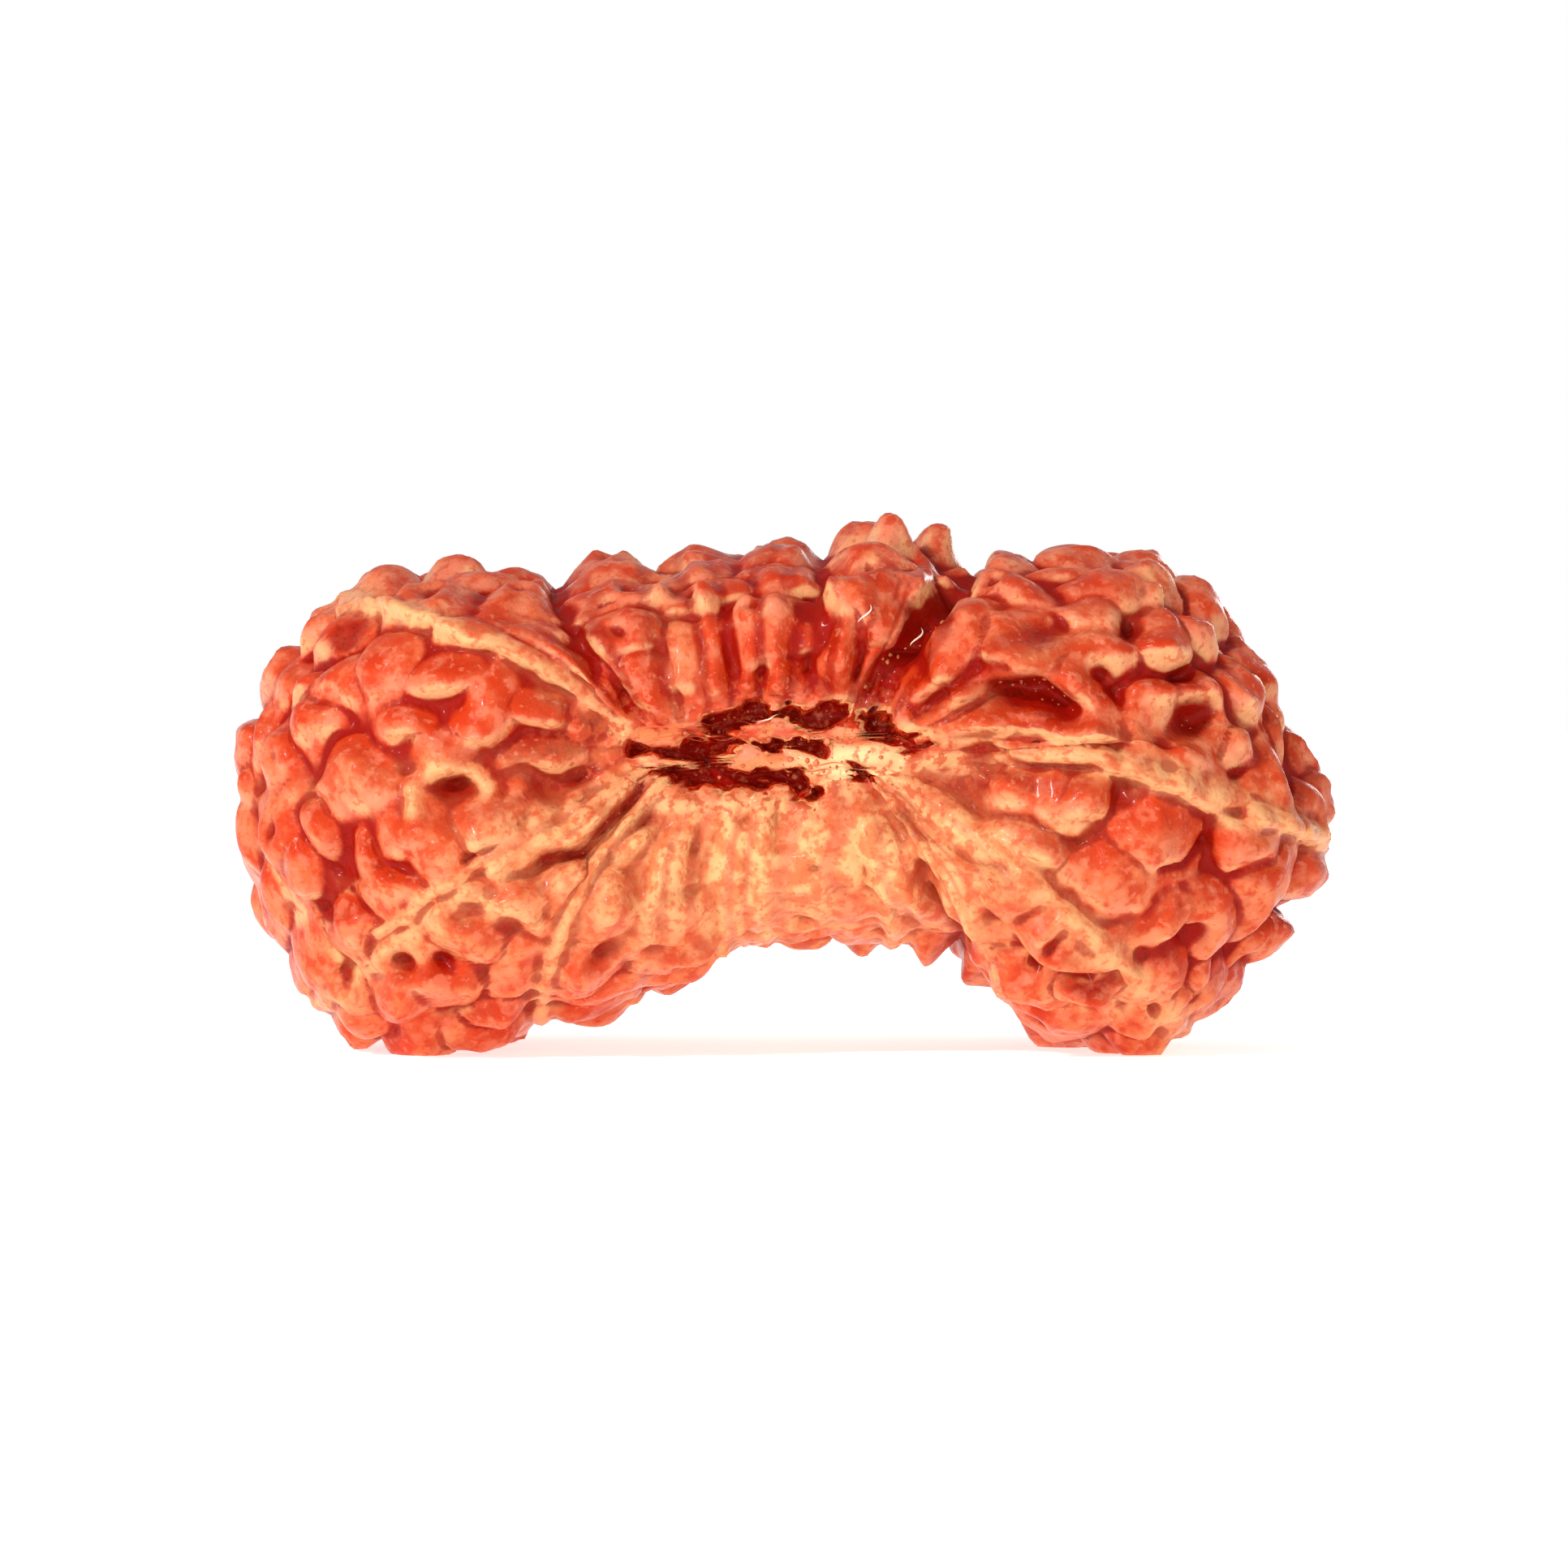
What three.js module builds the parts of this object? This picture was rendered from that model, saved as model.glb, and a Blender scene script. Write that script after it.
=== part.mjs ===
// A rudraksha seed of the wide, many-faced kind: the hard stone of the fruit, grown as one piece.
// Millimetres, +Z up. It stands on its two lobes, with one pole facing -Y and the other facing +Y.
// The faces' lines run like meridians from the slit at one pole, over the rim, to the slit at the other.
import * as THREE from "three";

// Driving dimensions
const halfDepth = 11.3; // from the plane of the rim to a plain pole, before the faces sink
const valley = { depth: 2.2, reach: 4.6 }; // how far a face sinks at the slit, and how far out it does
const boxiness = 0.8; // 1 gives elliptic sections, less gives fuller ones
const slit = { x: -0.3, z: 10.45, halfLength: 4.9, halfWidth: 1.25, slant: 0.03, wave: 0.16 };
const trenchDepth = 1.4; // the trench follows the slit's lips round a ledge
const ledge = { depth: 0.3, scale: 0.68, end: -2.2, ease: 0.35 };
const slitPit = { x: -3.6, reach: 1.5, depth: 1.2 }; // the slit's deep end
const edge = 0.72; // aim for the length of a facet's side
const ringsPerFace = 28;
const ground = -0.35; // the usual level of the low ground between the knobs
const groundSwell = { size: 2.4, reach: 0.2 };
const crevice = -0.55; // the level that a knob's foot runs down to
const blend = 0.1; // how softly neighbouring knobs run into each other
const dome = { reach: 1.1, flatness: 2.7 }; // a knob's profile: more flatness gives a flatter top
const channelHalfWidth = 0.7; // the low ground that each line runs in
const crestHalfWidth = 0.4;
const knobPitch = 2.5; // usual distance from knob to knob
const knobHeight = 0.72;
const knobReach = 5; // beyond this a knob has no effect
const frontSpread = 1.12; // how far the foot of a knob placed by hand spreads
const warp = { size: 3.1, reach: 0.5 }; // the wander that keeps knobs and lines from being regular
const fineWarp = { size: 1.2, reach: 0.16 };
const lean = { size: 4.5, reach: 0.5 }; // how far knobs lean over to one side
const swell = { size: 1.5, reach: 0.12 };
const seed = 21;

// The lines: where each crosses the rim (x, z), how far it bows aside, and its crest (below 0, a cleft).
const lines = [
  [18.65, 7.1, 1.3, 0.35],
  [17.4, 11.3, 0, 0.1],
  [13.9, 16.3, 0, 0.1],
  [7.1, 16.6, 0.6, -0.5],
  [4.8, 17.6, 0.1, -0.15],
  [1.6, 17, 0, -0.2],
  [-1.4, 16.9, 0, -0.12],
  [-3.9, 16.3, 0, 0.1],
  [-7.6, 16.1, 0.35, -0.35],
  [-14.8, 15.4, -0.95, 0.3],
  [-18.4, 8.8, 0, 0.1],
  [-15.7, 1.8, 0, 0.3],
  [-11.5, 0.2, -0.3, 0.1],
  [-8.1, 1.2, -0.85, 0.35],
  [-4.8, 2, -0.5, 0.15],
  [-1.8, 3.6, -0.1, 0.3],
  [-0.3, 3.9, 0, 0.35],
  [4, 4, 0.1, 0.35],
  [6.3, 3.5, 0, -0.35],
  [8, 2, 0.3, 0.3],
  [10.8, 0.4, 0.4, 0.1],
  [14.1, 0.9, 0.5, 0.35],
];

// Knobs that stand out on the face at -Y: x, z, half length, half width, tilt in degrees, height.
const frontKnobs = [
  [-17.4, 10.7, 1.25, 0.7, 80, 0.6],
  [-18.1, 9.1, 0.9, 0.6, 10, 0.6],
  [-15.4, 11.3, 1.35, 0.95, -10, 0.8],
  [-13.9, 9.6, 1.6, 1.15, -10, 0.95],
  [-16.4, 8.7, 0.9, 0.5, 35, 0.5],
  [-15.4, 7.9, 0.8, 0.75, 0, 0.8],
  [-13.2, 13.1, 1.6, 1.15, 75, 0.9],
  [-13.3, 16, 1.4, 0.8, 0, 0.6],
  [-15.7, 14.2, 1.2, 0.45, 85, 0.6],
  [-15.8, 12.6, 1.1, 0.45, -5, 0.5],
  [-11.3, 13, 1.15, 0.8, 0, 0.6],
  [-9.6, 11.9, 1.3, 1, 60, 0.8],
  [-12.4, 11.4, 0.95, 0.55, 0, 0.5],
  [-11, 10.6, 1.2, 0.5, 0, 0.5],
  [-11.7, 7.4, 1.7, 1.1, -50, 0.85],
  [-9.6, 8.1, 1.25, 0.65, 15, 0.7],
  [-15.9, 6.3, 1, 0.95, 0, 0.7],
  [-13.6, 6.7, 1.1, 0.7, -50, 0.6],
  [-18, 7.1, 0.9, 0.7, -50, 0.6],
  [-17.2, 5.3, 1.1, 0.75, -60, 0.6],
  [-14.3, 4.3, 1.2, 0.9, 40, 0.8],
  [-14.6, 2, 1.1, 0.8, 0, 0.6],
  [-12.6, 2.4, 1.45, 1, 60, 0.85],
  [-10.7, 4.6, 1.15, 0.95, 0, 0.85],
  [-8.4, 5.5, 1.2, 0.6, -20, 0.5],
  [-9.3, 1.6, 1.25, 0.9, -80, 0.7],
  [-6.7, 2.4, 0.95, 0.8, 0, 0.5],
  [-10, 16, 1.6, 0.8, 10, 0.5],
  [-8, 16, 1, 0.6, 0, 0.45],
  [-10.6, 14.5, 1.2, 0.55, -15, 0.45],
  [-7.9, 13.3, 1.3, 0.5, -40, 0.5],
  [-8.2, 12, 1, 0.6, -20, 0.6],
  [-6.6, 11.6, 0.7, 0.45, 60, 0.6],
  [-7.5, 10.4, 1.3, 0.5, 10, 0.5],
  [8, 9.3, 1.05, 0.65, -10, 0.6],
  [10.2, 8.8, 1.05, 0.95, 0, 0.85],
  [12.6, 7.5, 1.9, 1.6, 20, 0.95],
  [16.5, 6.1, 1.9, 1.6, 30, 0.9],
  [9.9, 16.1, 1.5, 0.8, 0, 0.5],
  [12.6, 16.4, 1.25, 0.7, 0, 0.5],
  [10.8, 14.9, 1.4, 0.7, -10, 0.5],
  [14.2, 14.3, 1.4, 0.85, -45, 0.55],
  [15.6, 10.8, 0.65, 0.6, 0, 0.7],
  [16.9, 11, 0.9, 0.55, -60, 0.5],
  [9, 7.2, 1.15, 0.85, -35, 0.7],
  [5.9, 8.2, 1.35, 0.5, -35, 0.6],
  [9.7, 4.3, 1.6, 0.85, -35, 0.75],
  [13.4, 5, 1.4, 0.7, 15, 0.7],
  [10.7, 2.3, 0.9, 0.55, 20, 0.5],
  [12.6, 1.4, 1.15, 0.75, 75, 0.6],
  [10.1, 1.2, 0.85, 0.55, 0, 0.5],
  [14.3, 2.9, 0.9, 0.65, 60, 0.5],
  [16.3, 4, 1.4, 0.6, 25, 0.5],
  [4, 17.4, 1, 0.9, 0, 0.8],
  [5.7, 17.3, 0.9, 0.9, 0, 0.9],
];

// Small beads on the low ground of that face: x, z, half length, half width, tilt, height.
const frontBeads = [
  [-1.2, 6.4, 0.5, 0.35, 90, 0.3],
  [-1.1, 5.5, 0.45, 0.35, 90, 0.3],
  [-1.2, 4.6, 0.45, 0.35, 90, 0.35],
  [-2.5, 4.3, 0.65, 0.5, 60, 0.5],
  [1.5, 5.5, 0.6, 0.35, 90, 0.3],
  [2.1, 4.4, 0.5, 0.45, 90, 0.35],
  [1.6, 6.8, 0.5, 0.4, 20, 0.25],
  [2.7, 6.1, 0.5, 0.3, 90, 0.25],
  [-5.5, 5.4, 0.8, 0.5, 0, 0.3],
  [-4, 5.9, 0.6, 0.35, 60, 0.2],
  [0.5, 4.4, 0.5, 0.4, 90, 0.3],
];

// Knobs under each lobe that the seed stands on, worn flat where they touch: u and v on the body.
const footKnobs = { lobes: [11.8, 20.7], spread: 0.19, halfLength: 1.6, halfWidth: 1.4, height: 1.05 };

// The larger pits on the face at -Y: x, z, radius, depth.
const frontPits = [
  [-14.5, 14.2, 0.85, 0.8],
  [-15.2, 5, 0.5, 0.5],
  [-10.8, 9.2, 0.4, 0.6],
  [-12.4, 3.4, 0.45, 0.6],
  [-11.2, 3.4, 0.4, 0.7],
  [-14.7, 2.6, 0.4, 0.5],
  [-6, 3.9, 0.45, 0.5],
  [8.9, 14.3, 0.7, 0.6],
  [10.8, 13, 0.45, 0.6],
  [12, 14.6, 0.45, 0.6],
  [13.5, 15.1, 0.45, 0.7],
  [13.6, 13, 0.4, 0.6],
  [14.1, 11.5, 0.5, 1],
  [13, 10.6, 0.5, 0.5],
  [17.4, 9.3, 0.6, 0.7],
  [7.1, 4.8, 0.45, 0.4],
  [6, 16.4, 0.4, 0.6],
  [-5, 15.6, 0.55, 0.6],
];

// Folds (rise above 0) and clefts (below 0) on that face, each along the points (x, z) of its route.
const frontFolds = [
  {
    halfWidth: 0.6,
    rise: 0.95,
    route: [[6.3, 12.6], [7.4, 13.4], [8.9, 13.5], [10, 13], [10.8, 12], [10.9, 11.1]],
  },
  { halfWidth: 0.55, rise: 0.65, route: [[5.8, 11.4], [7.2, 11.6], [8.8, 11.4], [10.3, 11]] },
  { halfWidth: 0.5, rise: -0.9, route: [[7.6, 12.5], [8.7, 12.4], [9.6, 11.9]] },
  {
    halfWidth: 0.4,
    rise: 0.45,
    route: [[11.1, 10], [12.2, 9.6], [13.6, 9.3], [14.6, 8.6], [16, 8.2], [17.4, 8], [18.4, 7.6]],
  },
  { halfWidth: 0.45, rise: 0.4, route: [[9.5, 14], [11, 13.9], [12.6, 13.8], [13.3, 13.3]] },
  { halfWidth: 0.45, rise: 0.4, route: [[12, 12.6], [13.4, 12.5], [14.9, 12.6], [15.6, 11.9]] },
  { halfWidth: 0.3, rise: -0.6, route: [[12.9, 6.6], [13.7, 6.6], [14.4, 7.3]] },
  { halfWidth: 0.3, rise: -0.6, route: [[17, 5], [17.8, 5.3], [18.3, 5.9]] },
  { halfWidth: 0.38, rise: -0.55, route: [[12.3, 3.5], [13.2, 3.9], [14.2, 4.4]] },
  { halfWidth: 0.3, rise: -0.5, route: [[4.9, 9.6], [6.8, 8.5], [8.5, 8.2], [10, 7.4]] },
  { halfWidth: 0.3, rise: -0.3, route: [[5, 7.6], [6.5, 6.8], [7.7, 6.6]] },
  { halfWidth: 0.3, rise: -0.4, route: [[10, 2.7], [10.7, 2.4], [11.4, 2.8]] },
  {
    halfWidth: 0.3,
    rise: 0.45,
    route: [[-12, 8.4], [-12.1, 9.3], [-11.3, 9.9], [-10.3, 9.8], [-9.6, 9.2]],
  },
  { halfWidth: 0.35, rise: 0.55, route: [[-9.9, 7.1], [-8.1, 7.9], [-6.5, 9], [-5.4, 9.9]] },
  { halfWidth: 0.35, rise: 0.55, route: [[-9.3, 6.6], [-7.4, 7.2], [-5.8, 8.2], [-4.8, 9.3]] },
  { halfWidth: 0.3, rise: -0.65, route: [[-7.8, 6.8], [-6.4, 7], [-5.4, 8.3], [-4.5, 9.3]] },
  { halfWidth: 0.35, rise: 0.45, route: [[-10, 5.7], [-9.2, 5.1], [-8, 4.7]] },
  { halfWidth: 0.3, rise: 0.3, route: [[-9.8, 6.8], [-11, 5.9], [-12.4, 4.8], [-13.4, 4.3]] },
  { halfWidth: 0.3, rise: 0.3, route: [[-15, 15], [-13, 15.3], [-11.5, 14.8], [-10, 14.1]] },
  { halfWidth: 0.55, rise: -0.7, route: [[2.9, 11.9], [3.6, 13.2], [4.6, 14.4], [5.4, 15.3], [6.4, 15.8]] },
  { halfWidth: 0.3, rise: -0.55, route: [[4.6, 11.8], [6, 12.8], [8, 13.4]] },
  { halfWidth: 0.3, rise: -0.5, route: [[-5.1, 12.2], [-6.2, 13.7], [-6.9, 14.9]] },
  { halfWidth: 0.45, rise: 0.5, route: [[0, 15.4], [0, 12.8]] },
  { halfWidth: 0.55, rise: 0.5, route: [[2.1, 15.6], [2, 12.9]] },
  { halfWidth: 0.35, rise: 0.4, route: [[-1, 15.4], [-0.9, 12.7]] },
  { halfWidth: 0.35, rise: 0.45, route: [[-2.3, 15.6], [-2, 12.6]] },
  { halfWidth: 0.35, rise: 0.4, route: [[-3.9, 15.4], [-3.3, 12.8]] },
  { halfWidth: 0.5, rise: 0.4, route: [[3.9, 16.4], [3.3, 14.4]] },
  { halfWidth: 0.3, rise: -0.45, route: [[1.1, 15.8], [1.1, 13.2]] },
  { halfWidth: 0.3, rise: -0.4, route: [[3.2, 16.5], [2.9, 14.8], [2.6, 13]] },
  { halfWidth: 0.3, rise: -0.45, route: [[4.4, 8.4], [4.9, 6.4], [5.5, 5], [6.3, 3.8]] },
];

// Where knobs placed by rule stay low on that face: x, z, half length, half height, share taken off.
const calm = [
  [0.8, 6.4, 5.2, 3.3, 0.9],
  [-0.3, 13.4, 5, 2.8, 0.8],
  [8.8, 12.2, 3, 2, 0.9],
  [14, 13.5, 4, 3.5, 0.3],
];

const turn = Math.PI / 180;

// Repeatable numbers from 0 to 1: one after another, and one for each point of a lattice.
let state = seed;
function draw() {
  state = (Math.imul(state, 1664525) + 1013904223) >>> 0;
  return state / 4294967296;
}

function latticeValue(i, j, k) {
  let h = Math.imul(i, 73856093) ^ Math.imul(j, 19349663) ^ Math.imul(k, 83492791);
  h = Math.imul(h ^ (h >>> 13), 1274126177);
  return ((h ^ (h >>> 16)) >>> 0) / 4294967296;
}

// Smooth noise from -1 to 1, with lumps of the given size; a shift gives another noise of that size.
function noise(place, size, shift) {
  const [x, y, z] = [place.x / size + shift, place.y / size, place.z / size];
  const [i, j, k] = [Math.floor(x), Math.floor(y), Math.floor(z)];
  const ease = (t) => t * t * (3 - 2 * t);
  const [a, b, c] = [ease(x - i), ease(y - j), ease(z - k)];
  let sum = 0;
  for (let n = 0; n < 8; n++) {
    const [p, q, r] = [n & 1, (n >> 1) & 1, n >> 2];
    const share = (p ? a : 1 - a) * (q ? b : 1 - b) * (r ? c : 1 - c);
    sum += share * latticeValue(i + p, j + q, k + r);
  }
  return 2 * sum - 1;
}

function noiseVector(place, size, firstShift) {
  const parts = [0, 40, 80].map((shift) => noise(place, size, firstShift + shift));
  return new THREE.Vector3(...parts);
}

// A place moved by the wander.
function warped(place) {
  return place
    .clone()
    .addScaledVector(noiseVector(place, warp.size, 0), warp.reach)
    .addScaledVector(noiseVector(place, fineWarp.size, 400), fineWarp.reach);
}

// The rim: a smooth closed curve through the lines' crossings. u counts lines, with fractions between.
function rimPoint(u) {
  const count = lines.length;
  const first = Math.floor(u);
  const t = u - first;
  const at = [-1, 0, 1, 2].map((step) => lines[(first + step + count) % count]);
  const along = (axis) => {
    const [a, b, c, d] = at.map((line) => line[axis]);
    const bend = 2 * a - 5 * b + 4 * c - d;
    return b + 0.5 * t * (c - a + t * (bend + t * (3 * (b - c) + d - a)));
  };
  return { x: along(0), z: along(1), bow: along(2) };
}

// The smooth body under the relief. v runs from -1 at the slit facing -Y, over 0 at the rim, to 1.
function bodyPoint(u, v) {
  const rim = rimPoint(u);
  const angle = Math.atan2(rim.z - slit.z, rim.x - slit.x);
  const lipX = slit.halfLength * Math.cos(angle);
  const lipZ = slit.halfWidth * Math.sin(angle) + slit.wave * Math.sin(5 * angle) - slit.slant * lipX;
  const lip = { x: slit.x + lipX, z: slit.z + lipZ };
  const share = Math.abs(Math.cos((v * Math.PI) / 2)) ** boxiness;
  const rise = Math.abs(Math.sin((v * Math.PI) / 2)) ** boxiness;
  const span = { x: rim.x - lip.x, z: rim.z - lip.z };
  const length = Math.hypot(span.x, span.z);
  const aside = (rim.bow * 4 * share * (1 - share)) / length;
  const sink = valley.depth * rise * rise * Math.exp(-(((share * length) / valley.reach) ** 2));
  return new THREE.Vector3(
    lip.x + share * span.x - aside * span.z,
    Math.sign(v) * (halfDepth * rise - sink),
    lip.z + share * span.z + aside * span.x,
  );
}

// The body's own axes at a place: along the meridian, across it, and straight out.
function bodyAxes(u, v) {
  const step = 0.02;
  const inside = Math.max(-1 + step, Math.min(1 - step, v));
  const along = bodyPoint(u, inside + step).sub(bodyPoint(u, inside - step)).normalize();
  const across = bodyPoint(u + step, inside).sub(bodyPoint(u - step + lines.length, inside));
  const up = along.clone().cross(across).normalize();
  return { along, across: up.clone().cross(along), up };
}

// A place on the face at -Y, given as it is seen from the front, and the way straight out there.
function seat(x, z) {
  let best = null;
  for (let u = 0; u < lines.length; u += 0.125) {
    for (let v = -0.99; v < 0; v += 0.03) {
      const point = bodyPoint(u, v);
      const gap = Math.hypot(point.x - x, point.z - z);
      if (!best || gap < best.gap) best = { gap, u, v, point };
    }
  }
  return { at: warped(new THREE.Vector3(x, best.point.y, z)), up: bodyAxes(best.u, best.v).up };
}

function frontKnob([x, z, halfLength, halfWidth, tilt, height]) {
  const { at, up } = seat(x, z);
  const along = new THREE.Vector3(Math.cos(tilt * turn), 0, Math.sin(tilt * turn));
  along.addScaledVector(up, -along.dot(up)).normalize();
  const across = up.clone().cross(along);
  const size = { halfLength: halfLength * frontSpread, halfWidth: halfWidth * frontSpread };
  return { at, along, across, up, ...size, height };
}

function standingKnobs() {
  const { lobes, spread, halfLength, halfWidth, height } = footKnobs;
  const knob = (u, v) => ({ at: warped(bodyPoint(u, v)), ...bodyAxes(u, v), halfLength, halfWidth, height });
  return lobes.flatMap((u) => [-spread, spread].map((v) => knob(u, v)));
}

// How much of their height the knobs placed by rule keep at a place.
function calmShare(place) {
  if (place.y > 0) return 1;
  return calm.reduce((kept, [x, z, halfLength, halfHeight, off]) => {
    const away = ((place.x - x) / halfLength) ** 2 + ((place.z - z) / halfHeight) ** 2;
    return kept * (1 - off * Math.exp(-(away ** 2)));
  }, 1);
}

// How fast a place moves along its meridian as v grows.
function pace(u, v) {
  return bodyPoint(u, v + 0.01).distanceTo(bodyPoint(u, v)) / 0.01;
}

// Knobs in rows between the lines, over both faces and the rim, clear of those placed by hand.
function ruleKnobs(placed) {
  const made = [];
  for (let sector = 0; sector < lines.length; sector++) {
    let v = -0.94 + 0.04 * draw();
    while (v < 0.95) {
      const left = bodyPoint(sector, v);
      const width = bodyPoint((sector + 1) % lines.length, v).distanceTo(left);
      const narrow = width < 2.2;
      const count = Math.max(1, Math.round((width - 0.3) / knobPitch));
      const row = knobPitch * (0.8 + 0.45 * draw()) * (narrow ? 1.6 : 1);
      for (let k = 0; k < count; k++) {
        const u = sector + (k + 0.5 + 0.24 * (draw() - 0.5)) / count;
        const place = v + ((draw() - 0.5) * 0.35 * row) / pace(u, v);
        const { along, across, up } = bodyAxes(u, place);
        const swing = (draw() - 0.5) * (narrow ? 20 : 70) * turn;
        const cell = width / count;
        const at = bodyPoint(u, place);
        const knob = {
          at,
          along: along.applyAxisAngle(up, swing),
          across: across.applyAxisAngle(up, swing),
          up,
          halfLength: 0.5 * row * (1.05 + 0.35 * draw()),
          halfWidth: 0.5 * cell * (1.05 + 0.25 * draw()),
          height: knobHeight * (0.6 + 0.7 * draw()) * Math.min(1, cell / knobPitch + 0.1) * calmShare(at),
          pit: draw() < 0.25,
        };
        if (!placed.some((other) => other.at.distanceTo(at) < 0.75 * other.halfLength + 0.35)) {
          made.push(knob);
        }
      }
      v += row / pace(sector + 0.5, v);
    }
  }
  return made;
}

const placedKnobs = [...frontKnobs.map(frontKnob), ...standingKnobs()];
const scattered = ruleKnobs(placedKnobs);
const knobs = [...placedKnobs, ...scattered];
const beads = frontBeads.map(frontKnob);
const pits = [
  ...frontPits.map(([x, z, radius, depth]) => ({ at: seat(x, z).at, radius, depth })),
  ...scattered
    .filter((knob) => knob.pit)
    .map((knob) => ({ at: knob.at, radius: 0.2 * knob.halfLength + 0.12, depth: 0.5 })),
];
const folds = frontFolds.map(({ halfWidth, rise, route }) => {
  const points = route.map(([x, z]) => seat(x, z).at);
  return { halfWidth, rise, points };
});

// Distance from a knob's middle, with its half length and half width as the unit.
function awayFrom(knob, point) {
  const gap = point.clone().sub(knob.at);
  const a = gap.dot(knob.along) / knob.halfLength;
  const b = gap.dot(knob.across) / knob.halfWidth;
  const c = gap.dot(knob.up) / Math.max(knob.halfLength, knob.halfWidth);
  return Math.sqrt(a * a + b * b + c * c);
}

// The surface's level where smooth knobs rise out of the low ground and run into each other.
function knobLevel(point) {
  let sum = Math.exp((ground + groundSwell.reach * noise(point, groundSwell.size, 300)) / blend);
  for (const knob of knobs) {
    if (point.distanceToSquared(knob.at) > knobReach ** 2) continue;
    const share = Math.exp(-((awayFrom(knob, point) / dome.reach) ** dome.flatness));
    const level = crevice + (knob.height - crevice) * share;
    sum += Math.exp(level / blend) - Math.exp(crevice / blend);
  }
  return blend * Math.log(sum);
}

function toRoute(point, route) {
  const foot = new THREE.Vector3();
  const gaps = route.slice(1).map((end, k) => {
    new THREE.Line3(route[k], end).closestPointToPoint(point, true, foot);
    return foot.distanceTo(point);
  });
  return Math.min(...gaps);
}

// How far the surface stands above the body at a place.
function relief(u, v, place) {
  const point = warped(place);
  let level = knobLevel(point);

  const nearest = Math.round(u) % lines.length;
  const fraction = u - Math.round(u);
  const side = fraction < 0 ? -1 : 1;
  const next = bodyPoint((nearest + side + lines.length) % lines.length, v);
  const width = next.distanceTo(bodyPoint(nearest, v));
  const wobble = 0.12 * Math.abs(noise(place, warp.size, 120)) * Math.min(1, Math.abs(fraction) * 8);
  const toLine = Math.abs(fraction) * width + wobble;
  const crestHeight = lines[nearest][3];
  const channel = Math.min(1, 2.6 * Math.abs(crestHeight)) * Math.exp(-((toLine / channelHalfWidth) ** 2));
  level += channel * 0.9 * (Math.min(level, 0) - level);
  level += Math.exp(-((toLine / crestHalfWidth) ** 2)) * crestHeight;

  for (const pit of pits) {
    const away = point.distanceTo(pit.at) / pit.radius;
    if (away < 3) level -= pit.depth * Math.exp(-away * away);
  }
  for (const fold of folds) {
    level += fold.rise * Math.exp(-((toRoute(point, fold.points) / fold.halfWidth) ** 2));
  }
  for (const bead of beads) level += bead.height * Math.exp(-((awayFrom(bead, point) / 0.9) ** 2));
  level += swell.reach * noise(point, swell.size, 0);
  // The relief runs out towards the slit, where the faces pinch together.
  return level * Math.min(1, 0.3 + (1 - Math.abs(v)) * 8);
}

function skinPoint(u, v) {
  const place = bodyPoint(u, v);
  const out = bodyAxes(u, v).up.addScaledVector(noiseVector(place, lean.size, 160), lean.reach);
  return place.clone().addScaledVector(out, relief(u % lines.length, v, place));
}

// Inside the slit the same meridians run down its walls: scale shrinks the slit's outline.
function slitPoint(u, side, scale) {
  const lip = bodyPoint(u, side);
  const x = slit.x + scale * (lip.x - slit.x);
  const y = lip.y - side * slitDepth(x, scale);
  return new THREE.Vector3(x, y, slit.z + scale * (lip.z - slit.z));
}

// A trench follows the lips round a ledge, and one end drops into a pit.
function slitDepth(x, scale) {
  const trench = trenchDepth * (1 - scale ** 6);
  const besidePit = 1 / (1 + Math.exp((ledge.end - x) / ledge.ease));
  const raised = (trenchDepth - ledge.depth) * Math.exp(-((scale / ledge.scale) ** 6)) * besidePit;
  const pit = slitPit.depth * Math.exp(-(((x - slitPit.x) / slitPit.reach) ** 2)) * (1 - scale ** 3);
  return trench - raised + pit;
}

// One ring of vertices round the seed, with fewer between two lines where the lines run closer.
function ring(pointAt) {
  return lines.map((_, sector) => {
    const width = pointAt((sector + 1) % lines.length).distanceTo(pointAt(sector));
    const count = Math.max(1, Math.round(width / edge));
    return Array.from({ length: count }, (_, k) => pointAt(sector + k / count));
  });
}

function makeRings() {
  const scales = [0.3, 0.58, 0.78, 0.9];
  const rings = scales.map((scale) => ring((u) => slitPoint(u, -1, scale)));
  for (let k = -ringsPerFace; k <= ringsPerFace; k++) {
    rings.push(ring((u) => skinPoint(u, k / ringsPerFace)));
  }
  return rings.concat(scales.reverse().map((scale) => ring((u) => slitPoint(u, 1, scale))));
}

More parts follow.
